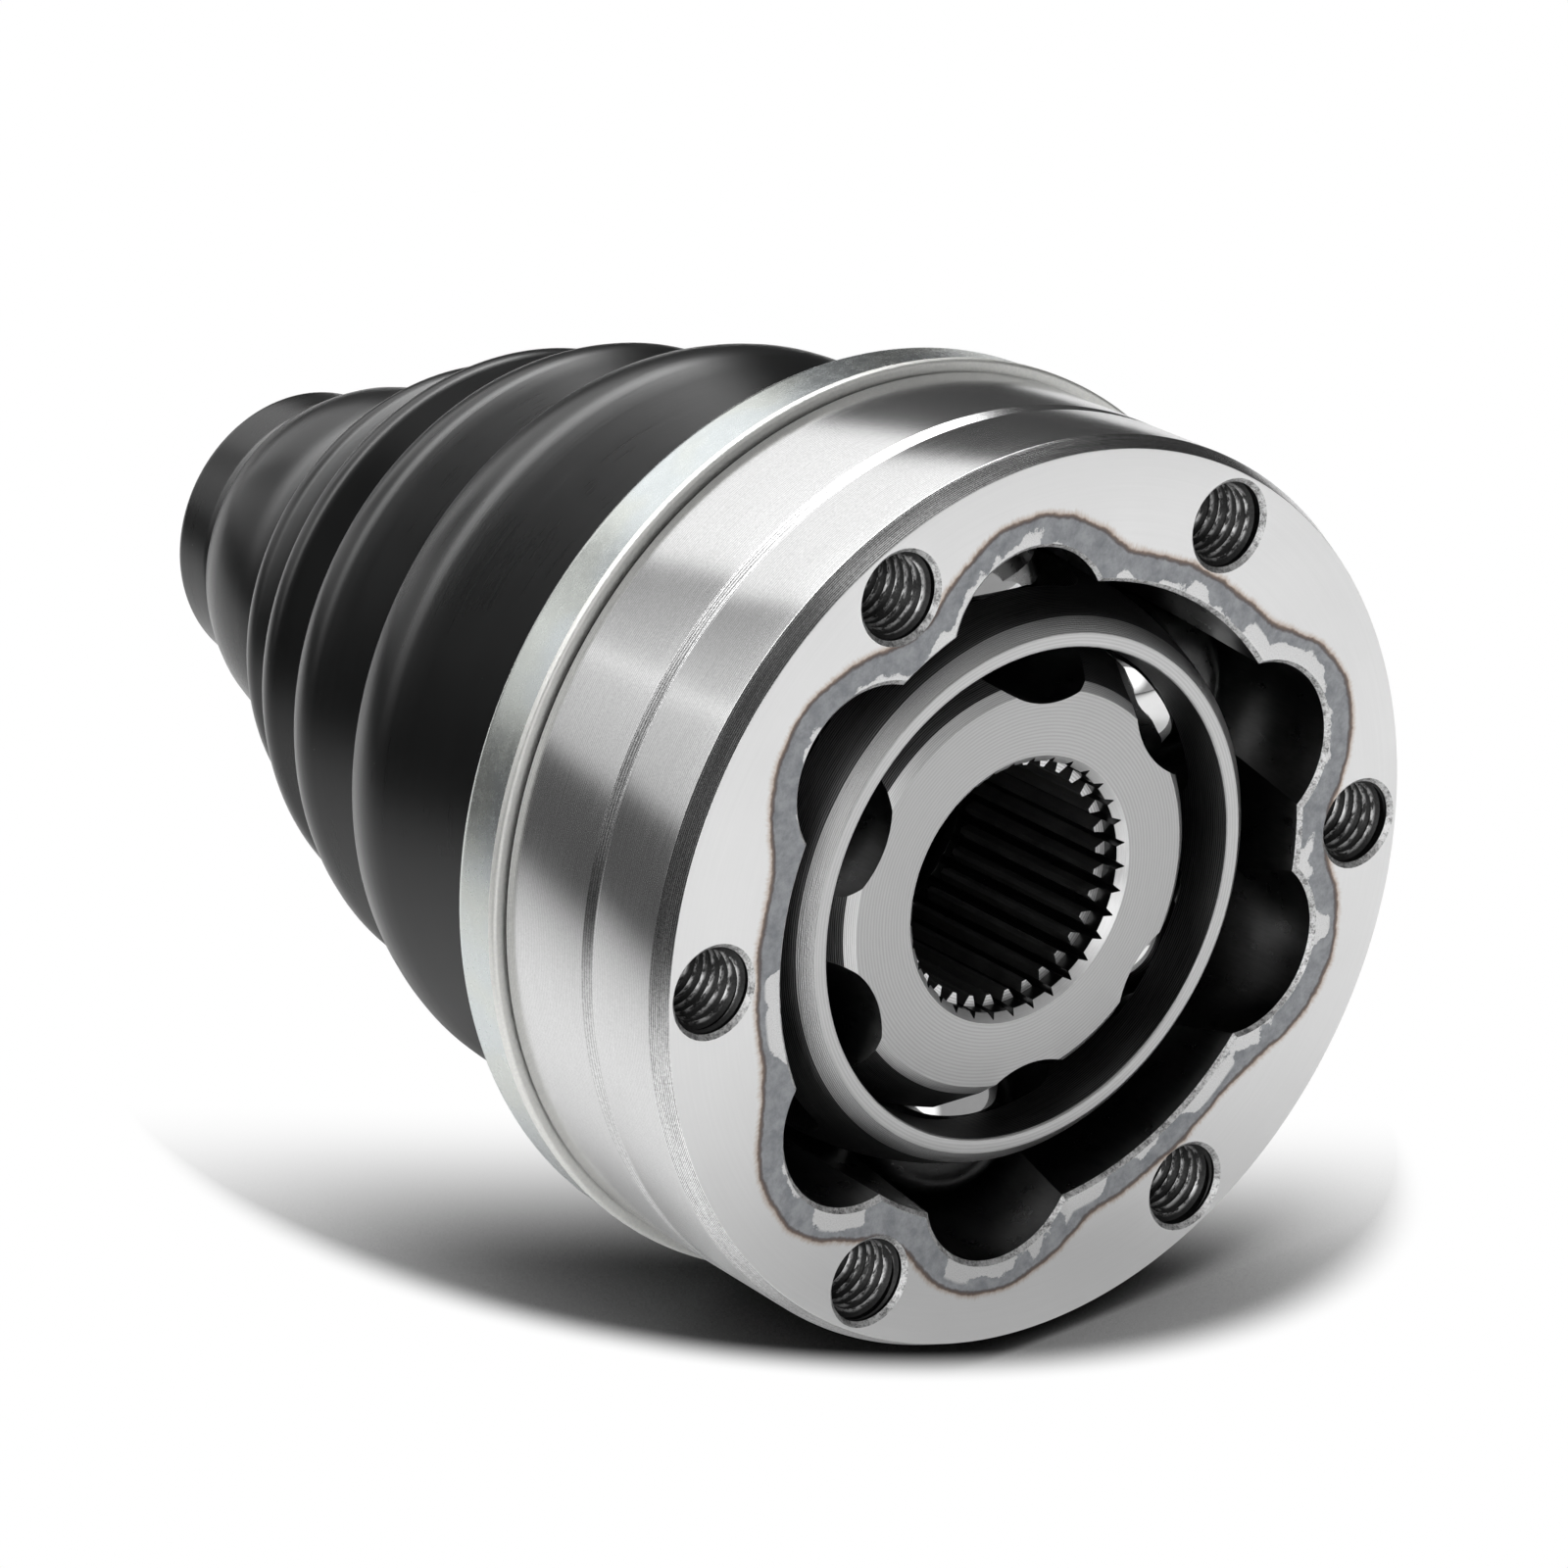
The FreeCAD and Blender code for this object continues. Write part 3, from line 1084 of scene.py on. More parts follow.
@dataclass
class TrackPattern:
    """Where the six balls and their skewed tracks lie."""

    count: int = 6
    ball_radius: float = 10.319
    pitch_radius: float = 32.4
    skew: float = 13.25
    first_angle: float = 26.5
    clearance: float = 0.15
    mid_plane: float = 20.0

    @property
    def step(self) -> float:
        """Angle between two tracks in degrees."""
        return 360 / self.count

    @property
    def track_radius(self) -> float:
        """Radius of a track's groove."""
        return self.ball_radius + self.clearance

    def mouths(self) -> Tuple[Point2, ...]:
        """Centres (x, z) of the outer tracks' mouths in the flange face.

        Returns:
            One centre for each track, in millimetres.
        """
        spots = []
        for i in range(self.count):
            angle = math.radians(self.first_angle + i * self.step)
            sign = 1 if i % 2 == 0 else -1
            drift = -sign * self.mid_plane * math.tan(math.radians(self.skew))
            spots.append((
                self.pitch_radius * math.cos(angle) - drift * math.sin(angle),
                self.pitch_radius * math.sin(angle) + drift * math.cos(angle),
            ))
        return tuple(spots)

    def cutters(self, shop: Workshop, sign: int, front: float, chamfer: float) -> Mesh:
        """Cutters for all tracks of one race.

        Args:
            shop: where they are made.
            sign: 1 for the outer race, -1 for the inner race.
            front: y of the face that the tracks open into.
            chamfer: width of the chamfer at their mouths.

        Returns:
            The cutters in one mesh.
        """
        reach = 3.0
        rear = 2 * self.mid_plane + reach
        mouth = [(front - reach, self.track_radius)]
        if chamfer:
            mouth = [
                (front - reach, self.track_radius + chamfer + reach),
                (front, self.track_radius + chamfer),
                (front + chamfer, self.track_radius),
            ]
        outline = [(front - reach, 0.0), *mouth, (rear, self.track_radius), (rear, 0.0)]
        blank = shop.turned(outline, 192)
        return outward(shop.ring(
            blank, self.count, self.first_angle, self.pitch_radius, self.mid_plane, sign * self.skew
        ))


@dataclass
class Assembly:
    """A group of pieces and the workshop that makes them."""

    shop: Workshop


@dataclass
class OuterRace(Assembly):
    """Flanged ring with the bolt holes, their threads and the shoulder for the can."""

    tracks: TrackPattern
    radius: float = 54.0
    width: float = 34.0
    bore_radius: float = 37.65
    mouth_chamfer: float = 0.5
    bevel: Point2 = (2.1, 0.92)
    edge_round: Point2 = (0.3, 0.12)
    groove: Tuple[float, float, float] = (12.6, 2.1, 0.4)
    shoulder_start: float = 29.05
    shoulder_radius: float = 53.3
    bolt_circle: float = 47.0
    bolt_count: int = 6
    thread_major: float = 5.0
    thread_minor: float = 4.25
    thread_pitch: float = 1.5
    thread_start: float = 0.9
    thread_turns: float = 14.0
    thread_steps: int = 40
    hole_mouth: float = 5.55
    hole_depth: float = 24.0

    @property
    def first_hole(self) -> float:
        """Angle of the first bolt hole in degrees, midway between two tracks."""
        return self.tracks.first_angle + self.tracks.step / 2

    def outline(self) -> List[Point2]:
        """The ring's section with its small edge roundings.

        Returns:
            Points (y, radius), the first repeated at the end.
        """
        start, width, depth = self.groove
        bevel_width, bevel_depth = self.bevel
        round_width, round_depth = self.edge_round
        inner = self.bore_radius
        corners = [
            (self.mouth_chamfer, inner, 0.08),
            (0.0, inner + self.mouth_chamfer, 0.06),
            (0.0, self.radius - bevel_depth - round_depth, 0.12),
            (bevel_width, self.radius - round_depth, 0.1),
            (bevel_width + round_width, self.radius, 0.15),
            (start, self.radius, 0.06),
            (start + 0.45, self.radius - depth, 0.25),
            (start + 0.8, self.radius - depth, 0.25),
            (start + width, self.radius, 0.1),
            (self.shoulder_start, self.radius, 0.08),
            (self.shoulder_start, self.shoulder_radius, 0.0),
            (self.width, self.shoulder_radius, 0.3),
            (self.width, inner, 0.3),
        ]
        return rounded(corners)

    def bolt_cutters(self) -> Mesh:
        """Cutters for the bolt holes at the thread's full diameter.

        Returns:
            The cutters in one mesh.
        """
        chamfer = self.hole_mouth - self.thread_major
        reach = 2.0
        point = self.thread_minor * math.tan(math.radians(31))
        outline = [
            (-reach, 0.0),
            (-reach, self.hole_mouth + reach),
            (0.0, self.hole_mouth),
            (chamfer, self.thread_major),
            (self.hole_depth, self.thread_major),
            (self.hole_depth + point, 0.0),
        ]
        blank = self.shop.turned(outline, 96)
        return outward(self.shop.ring(blank, self.bolt_count, self.first_hole, self.bolt_circle))

    def holes(self) -> Tuple[Point2, ...]:
        """Centres (x, z) of the bolt holes.

        Returns:
            One centre for each hole, in millimetres.
        """
        turns = [self.first_hole + i * self.tracks.step for i in range(self.bolt_count)]
        angles = [math.radians(turn) for turn in turns]
        return tuple(
            (self.bolt_circle * math.cos(a), self.bolt_circle * math.sin(a)) for a in angles
        )

    def threads(self) -> Mesh:
        """The thread ridges of all bolt holes.

        Returns:
            The ridges in one mesh.
        """
        ridge = self.shop.run(Rule.HELIX, bpy.data.meshes.new("thread"), {
            "Turns": self.thread_turns,
            "Steps": int(self.thread_turns * self.thread_steps),
            "Pitch": self.thread_pitch * MM,
            "Wall Radius": self.thread_major * MM,
            "Depth": (self.thread_major - self.thread_minor) * MM,
            "Start": self.thread_start * MM,
        })
        ridges = self.shop.ring(outward(ridge), self.bolt_count, self.first_hole, self.bolt_circle)
        return outward(ridges)

    def face_rule(self) -> FaceRule:
        """Which faces are side, flange face, holes or tracks.

        Returns:
            The rule, which gives a face's material number.
        """
        bolts = self.holes()

        def rule(middle: Vector, normal: Vector) -> int:
            """0 side, 1 flange face, 2 hole wall, 3 track, 4 chamfer, 5 rim groove, 6 bevel.

            Args:
                middle: the face's middle in millimetres.
                normal: its direction.

            Returns:
                The number of the face's material.
            """
            radius = math.hypot(middle.x, middle.z)
            if middle.y < 0.02 and normal.y < -0.9:
                return 1
            near = min(math.hypot(middle.x - x, middle.z - z) for x, z in bolts)
            if near < self.hole_mouth + 0.05 and middle.y < self.hole_depth + 4:
                return 4 if middle.y < self.hole_mouth - self.thread_major else 2
            on_rim = radius > self.radius - self.bevel[1] - 0.15
            if on_rim and middle.y < self.bevel[0] + 0.2 and normal.y > -0.9:
                return 6
            if radius > self.shoulder_radius - 0.5 and middle.y < self.width - 0.2:
                in_groove = self.groove[0] < middle.y < self.groove[0] + self.groove[1]
                return 5 if in_groove and radius < self.radius - 0.02 else 0
            if middle.y < self.mouth_chamfer + 0.01 and normal.y < -0.3:
                return 4
            return 3

        return rule

    def build(self) -> None:
        """Makes the race and its threads."""
        ring = self.shop.turned(self.outline(), 480)
        tracks = self.tracks.cutters(self.shop, 1, 0.0, self.mouth_chamfer)
        body = self.shop.cut(ring, tracks, self.bolt_cutters())
        finishes = [
            TurnedSteel(
                "race_side", level=0.64, roughness=0.17, feed=0.3, line_depth=0.0012, contrast=0.06,
                grain=0.4, sparkle=0.7,
            ).material(),
            FlangeFace(
                self.tracks.mouths(), self.tracks.track_radius + 0.3, self.bore_radius
            ).material(),
            ThreadSteel(self.holes(), self.thread_minor, self.thread_major).material(),
            SteelInPaintedShade("track_steel", 0.11, 0.3).material(),
            ScrapedSteel("chamfer_steel").material(),
            TurnedSteel(
                "groove_steel", level=0.6, roughness=0.2, feed=0.4, line_depth=0.003, contrast=0.14,
                grain=1.0, sparkle=1.0,
            ).material(),
            TurnedSteel(
                "bevel_steel", level=0.6, roughness=0.25, feed=0.3, line_depth=0.002, contrast=0.3,
                grain=1.0, sparkle=0.5,
            ).material(),
        ]
        hand_over(
            body, "race_ring", finishes, self.face_rule(), "housing", ["outer_race"]
        )
        hand_over(
            self.threads(), "bolt_threads", [finishes[2]], None, "housing"
        )


@dataclass
class InnerRace(Assembly):
    """Hub with skewed tracks and a splined bore."""

    tracks: TrackPattern
    width: float = 30.0
    face_radius: float = 23.6
    bevel: Point2 = (0.9, 1.15)
    flank_width: float = 5.2
    waist_radius: float = 29.65
    teeth: int = 33
    tip_radius: float = 13.8
    root_radius: float = 15.0
    slot_radius: float = 15.65
    slot_width: float = 1.0
    slot_tip: float = 0.12
    mouth_radius: float = 16.0
    tooth_inset: float = 3.2
    tooth_sink: float = 0.1
    tooth_rows: int = 4

    def outline(self) -> List[Point2]:
        """The hub's section: faces, flanks and the round waist.

        Returns:
            Points (y, radius), the first repeated at the end.
        """
        middle = self.tracks.mid_plane
        front = middle - self.width / 2
        rear = middle + self.width / 2
        reach = self.width / 2 - self.flank_width
        half = math.degrees(math.asin(reach / self.waist_radius))
        waist = arc((middle, 0.0), self.waist_radius, 90 + half, 90 - half, 24)
        chamfer = self.mouth_radius - self.root_radius
        entry = rounded([
            (middle, self.root_radius, 0.0),
            (front + chamfer, self.root_radius, 0.1),
            (front, self.root_radius + chamfer, 0.12),
            (front, self.face_radius, 0.15),
            (front + self.bevel[0], self.face_radius + self.bevel[1], 0.1),
            (waist[0][0], waist[0][1], 0.0),
        ], closed=False)
        exit_side = rounded([
            (waist[-1][0], waist[-1][1], 0.0),
            (rear - self.bevel[0], self.face_radius + self.bevel[1], 0.1),
            (rear, self.face_radius, 0.15),
            (rear, self.root_radius + chamfer, 0.12),
            (rear - chamfer, self.root_radius, 0.1),
            (middle, self.root_radius, 0.0),
        ], closed=False)
        return entry + waist[1:-1] + exit_side

    def tooth(self) -> Mesh:
        """One tooth of the bore, narrower at its tip, set back from both mouths.

        Returns:
            The closed tooth.
        """
        reach = self.width / 2 - self.tooth_inset
        pitch = math.tau / self.teeth
        base = self.root_radius + self.tooth_sink
        shares = [k / self.tooth_rows for k in range(self.tooth_rows + 1)]
        ends = []
        for end in (-1, 1):
            loop = []
            for side, order in ((1, shares), (-1, shares[::-1])):
                for share in order:
                    radius = base + share * (self.tip_radius - base)
                    width = radius * pitch * (0.31 - 0.2 * share ** 1.15)
                    y = self.tracks.mid_plane + end * (reach - 0.15 * share)
                    loop.append((radius, y, side * width))
            ends.append(loop)
        return prism("tooth", ends)

    def slot(self) -> Mesh:
        """Cutter for one pointed slot beside the teeth, along +X.

        Returns:
            The closed cutter.
        """
        middle = self.tracks.mid_plane
        half, tip, inside = self.slot_width / 2, self.slot_tip / 2, self.root_radius - 1.0
        outline = [
            (inside, half), (self.root_radius, half), (self.slot_radius, tip),
            (self.slot_radius, -tip), (self.root_radius, -half), (inside, -half),
        ]
        return prism("slot", [
            [(x, y, z) for x, z in outline] for y in (middle - self.width, middle + self.width)
        ])

    def face_rule(self) -> FaceRule:
        """Which faces are turned, and which lie in tracks or the bore.

        Returns:
            The rule, which gives a face's material number.
        """
        middle = self.tracks.mid_plane
        inset = self.width / 2 - self.bevel[0] - 0.02

        def rule(centre: Vector, normal: Vector) -> int:
            """0 turned face, 1 track or bore, 2 bevel or bore chamfer, 3 dark turned flank.

            Args:
                centre: the face's middle in millimetres.
                normal: its direction.

            Returns:
                The number of the face's material.
            """
            radius = math.hypot(centre.x, centre.z)
            outward_share = (centre.x * normal.x + centre.z * normal.z) / max(radius, 0.001)
            if abs(normal.y) > 0.95:
                return 0
            if radius < self.mouth_radius + 0.2:
                return 2 if abs(normal.y) > 0.3 else 1
            if outward_share < 0.1:
                return 1
            if abs(centre.y - middle) > inset:
                return 2
            round_waist = abs(math.hypot(radius, centre.y - middle) - self.waist_radius) < 0.03
            cone = abs(centre.y - middle) > self.width / 2 - self.flank_width
            return 3 if round_waist or (cone and outward_share > 0.5) else 1

        return rule

    def build(self) -> None:
        """Makes the hub and its teeth."""
        blank = self.shop.turned(self.outline(), 360)
        front = self.tracks.mid_plane - self.width / 2
        slots = self.shop.ring(self.slot(), self.teeth, 180 / self.teeth)
        hub = self.shop.cut(blank, self.tracks.cutters(self.shop, -1, front, 0.0), outward(slots))
        finishes = [
            TurnedSteel(
                "hub_face", level=0.42, roughness=0.36, feed=0.42, line_depth=0.002, contrast=0.05,
                grain=1.0,
            ).material(),
            SteelInPaintedShade("hub_track", 0.1, 0.3).material(),
            TurnedSteel(
                "hub_bevel", level=0.66, roughness=0.4, feed=0.31, line_depth=0.01, contrast=0.1,
                grain=2.0,
            ).material(),
            TurnedSteel(
                "hub_flank", level=0.1, roughness=0.42, feed=0.33, line_depth=0.03, contrast=0.35,
            ).material(),
        ]
        hand_over(
            hub, "hub", finishes, self.face_rule(), "inner_race", ["inner_race"]
        )
        teeth = outward(self.shop.ring(self.tooth(), self.teeth, 0.0))
        steel = SteelInPaintedShade("spline_steel", 0.3, 0.42).material()

        def rule(_: Vector, normal: Vector) -> int:
            """0 tooth, 1 coned end."""
            return 1 if abs(normal.y) > 0.5 else 0

        hand_over(
            teeth, "spline_teeth", [steel, finishes[2]], rule, "inner_race"
        )


@dataclass
class BallCage(Assembly):
    """Ring with round faces inside and out and one window for each ball."""

    tracks: TrackPattern
    width: float = 34.0
    outer_wall: float = 3.65
    inner_wall: float = 2.45
    end_land: float = 0.75
    edge: Point2 = (1.4, 1.6)
    window_length: float = 25.0
    window_clearance: float = 0.2
    window_corner: float = 5.0
    window_reach: Point2 = (24.0, 42.0)

    def outline(self) -> List[Point2]:
        """The cage's section.

        Returns:
            Points (y, radius), the first repeated at the end.
        """
        middle = self.tracks.mid_plane
        outer = self.tracks.pitch_radius + self.outer_wall
        inner = self.tracks.pitch_radius - self.inner_wall
        edge_width, edge_depth = self.edge
        reach = self.width / 2 - edge_width
        half = math.degrees(math.asin(reach / outer))
        crown = arc((middle, 0.0), outer, 90 + half, 90 - half, 28)
        land = inner - self.end_land
        half_in = math.degrees(math.acos(land / inner))
        hollow = arc((middle, 0.0), inner, 90 - half_in, 90 + half_in, 20)
        edge_radius = crown[0][1]
        front = middle - self.width / 2
        rear = middle + self.width / 2
        head = rounded([
            (hollow[-1][0], land, 0.0),
            (front, land, 0.35),
            (front, edge_radius - edge_depth, 0.2),
            (front + edge_width, edge_radius, 0.0),
        ], closed=False)
        tail = rounded([
            (rear - edge_width, edge_radius, 0.0),
            (rear, edge_radius - edge_depth, 0.2),
            (rear, land, 0.35),
            (hollow[0][0], land, 0.0),
        ], closed=False)
        return head + crown[1:-1] + tail + hollow[1:]

    def window(self) -> Mesh:
        """Cutter for one window, along +X.

        Returns:
            The closed cutter.
        """
        half_width = self.tracks.ball_radius + self.window_clearance
        half_length = self.window_length / 2
        corner = self.window_corner
        steps = 12
        loop = []
        for cy, cz, start in (
            (half_width - corner, half_length - corner, 0),
            (corner - half_width, half_length - corner, 90),
            (corner - half_width, corner - half_length, 180),
            (half_width - corner, corner - half_length, 270),
        ):
            for k in range(steps + 1):
                angle = math.radians(start + 90 / steps * k)
                loop.append((cy + corner * math.cos(angle), cz + corner * math.sin(angle)))
        middle = self.tracks.mid_plane
        return prism("window", [
            [(x, middle + y, z) for y, z in loop] for x in self.window_reach
        ])

    def face_rule(self) -> FaceRule:
        """Which faces are ground bright and which stay dark.

        Returns:
            The rule, which gives a face's material number.
        """
        half = self.width / 2
        land = self.tracks.pitch_radius - self.inner_wall - self.end_land

        def rule(centre: Vector, normal: Vector) -> int:
            """0 dark ring, 1 bright end face, 2 grainy edge.

            Args:
                centre: the face's middle in millimetres.
                normal: its direction.

            Returns:
                The number of the face's material.
            """
            radius = math.hypot(centre.x, centre.z)
            deep = half - abs(centre.y - self.tracks.mid_plane)
            if deep > self.edge[0] + 0.03 or radius < land + 0.02:
                return 0
            return 1 if abs(normal.y) > 0.93 else 2

        return rule

    def build(self) -> None:
        """Makes the cage."""
        blank = self.shop.turned(self.outline(), 360)
        windows = outward(self.shop.ring(self.window(), self.tracks.count, self.tracks.first_angle))
        cage = self.shop.cut(blank, windows)
        finishes = [
            TurnedSteel(
                "cage_dark", level=0.12, roughness=0.42, feed=0.33, line_depth=0.03, contrast=0.35,
                grain=0.4,
            ).material(),
            TurnedSteel(
                "cage_end", level=0.48, roughness=0.32, feed=0.4, line_depth=0.002, contrast=0.05,
            ).material(),
            TurnedSteel(
                "cage_edge", level=0.52, roughness=0.36, feed=0.31, line_depth=0.03, contrast=0.1,
                grain=2.0,
            ).material(),
        ]
        hand_over(
            cage, "cage_ring", finishes, self.face_rule(), "ball_cage", ["ball_cage"]
        )


@dataclass
class Balls(Assembly):
    """Six polished balls, one on each ball's body."""

    tracks: TrackPattern

    def build(self) -> None:
        """Makes the balls."""
        steel = BallSteel().material()
        middle = self.tracks.mid_plane
        half_turn = arc((middle, 0.0), self.tracks.ball_radius, 180, 0, 64)
        half_turn[0] = (half_turn[0][0], 0.0)
        half_turn[-1] = (half_turn[-1][0], 0.0)
        sphere = self.shop.turned(half_turn, 128)
        for i in range(self.tracks.count):
            angle = self.tracks.first_angle + i * self.tracks.step
            ball = self.shop.ring(sphere, 1, angle, self.tracks.pitch_radius)
            name = f"ball_{i + 1}"
            hand_over(outward(ball), f"steel_{name}", [steel], None, name, [name])


@dataclass
class BootCan(Assembly):
    """Pressed zinc-plated cap with a rolled lip, and the sealing ring in front of it."""

    front: float = 29.5
    rear: float = 37.8
    inner_radius: float = 53.35
    outer_radius: float = 54.95
    wall: float = 1.6
    lip_rise: float = 0.4
    lip_width: float = 1.2
    bend: float = 1.5
    mouth_radius: float = 50.1
    seal_width: float = 0.3
    seal_radius: float = 53.8

    def build(self) -> None:
        """Makes the can and the seal."""
        lip = self.outer_radius + self.lip_rise
        section = rounded([
            (self.front, self.inner_radius, 0.15),
            (self.front, lip, 0.5),
            (self.front + self.lip_width, lip, 0.5),
            (self.front + self.lip_width, self.outer_radius, 0.15),
            (self.rear, self.outer_radius, self.bend),
            (self.rear, self.mouth_radius, 0.3),
            (self.rear - self.wall, self.mouth_radius, 0.2),
            (self.rear - self.wall, self.inner_radius, 0.3),
        ], 12.0)
        can = self.shop.turned(section, 480)
        hand_over(
            can, "zinc_can", [ZincSheet().material()], None, "housing", ["boot_can"]
        )
        seal = self.shop.turned(rounded([
            (self.front - self.seal_width, self.inner_radius, 0.0),
            (self.front - self.seal_width, self.seal_radius, 0.15),
            (self.front, self.seal_radius, 0.15),
            (self.front, self.inner_radius, 0.0),
        ]), 360)
        hand_over(
            seal, "seal_ring", [SealRubber().material()], None, "housing",
            ["can_seal"],
        )


@dataclass
class Boot(Assembly):
    """Rubber bellows from the can to the collar for the shaft."""

    start: float = 37.8
    bead_front: float = 34.0
    bead_radius: float = 53.3
    bead_rear: float = 36.2
    neck_radius: float = 49.8
    wall: float = 2.2
    end: float = 154.5
    collar_radius: float = 18.8
    collar_width: float = 7.0
    collar_edge: float = 1.6
    mouth_radius: float = 14.0
    outline: List[Point3] = field(default_factory=lambda: [
        (2.2, 49.8, 1.6), (6.0, 41.8, 2.6), (9.0, 40.6, 4.0), (29.0, 47.8, 13.0),
        (34.8, 45.9, 2.5), (36.4, 38.6, 1.8), (39.2, 37.6, 2.2), (51.4, 42.2, 8.5),
        (55.2, 40.6, 2.6), (57.0, 34.6, 1.6), (59.2, 34.2, 1.8), (65.6, 37.8, 5.0),
        (68.4, 36.6, 2.5), (70.2, 30.9, 1.2), (72.6, 31.2, 3.0), (77.6, 32.7, 4.5),
        (80.0, 31.3, 2.5), (81.8, 24.6, 2.6), (86.6, 22.4, 8.0), (92.4, 24.3, 14.0),
        (100.0, 23.9, 16.0), (106.0, 21.0, 5.0), (107.6, 18.2, 1.4),
    ])

    def inside(self, neck: Sequence[Point3]) -> List[Point3]:
        """The outline moved towards the axis by the wall.

        Args:
            neck: corners (y, radius, rounding) of the outside.

        Returns:
            The corners of the inside.
        """
        spots = [Vector((y, r)) for y, r, _ in neck]
        moved = []
        for i, (_, _, rounding) in enumerate(neck):
            ahead = (spots[min(i + 1, len(spots) - 1)] - spots[min(i, len(spots) - 2)]).normalized()
            behind = (spots[max(i, 1)] - spots[max(i - 1, 0)]).normalized()
            inward_a = Vector((ahead.y, -ahead.x))
            inward_b = Vector((behind.y, -behind.x))
            mean = (inward_a + inward_b).normalized()
            place = spots[i] + mean * (self.wall / mean.dot(inward_a))
            bulge = behind.x * ahead.y - behind.y * ahead.x < 0
            inner = max(rounding - self.wall, 0.3) if bulge else rounding + self.wall
            moved.append((place.x, place.y, inner))
        return moved

    def section(self) -> List[Point2]:
        """The whole closed section of the boot.

        Returns:
            Points (y, radius), the first repeated at the end.
        """
        corners = [(self.start + y, r, rounding) for y, r, rounding in self.outline]
        neck = [(self.bead_rear, self.neck_radius, 0.0)] + corners
        inside = self.inside(neck)
        collar = self.end - self.collar_width
        bead = [
            (self.bead_front, self.neck_radius - self.wall, 0.3),
            (self.bead_front, self.bead_radius, 0.3),
            (self.bead_rear, self.bead_radius, 0.3),
        ]
        tube = [
            (collar, self.collar_radius, self.collar_edge),
            (self.end, self.collar_radius, self.collar_edge),
            (self.end, self.mouth_radius, 0.5),
            (collar - self.wall, self.mouth_radius, 0.5),
        ]
        corners = bead + neck + tube + list(reversed(inside[1:-1]))
        return divided(rounded(corners, 11.0), 2.4)

    def build(self) -> None:
        """Makes the boot."""
        section = self.section()
        LOG.info("boot section of %d points", len(section))
        boot = self.shop.turned(section, 256)
        hand_over(
            boot, "rubber_boot", [BootRubber().material()], None, "housing",
            ["boot"],
        )


@dataclass(frozen=True)
class SoftBox:
    """A bright patch of the room, told by the y of a direction and its turn about Y in degrees.

    Each pair of numbers is where an edge begins and where it ends.
    """

    level: float
    rise: Point2
    fall: Point2
    start: Point2
    end: Point2

    def light(self, plan: Plan, y: Value, turn: Value) -> Value:
        """The patch's light.

        Args:
            plan: the world's tree.
            y: the direction's y.
            turn: its turn.

        Returns:
            The light in that direction.
        """
        mask = plan.step(y, *self.rise) * (1 - plan.step(y, *self.fall))
        mask = mask * plan.step(turn, *self.start) * (1 - plan.step(turn, *self.end))
        return self.level * mask


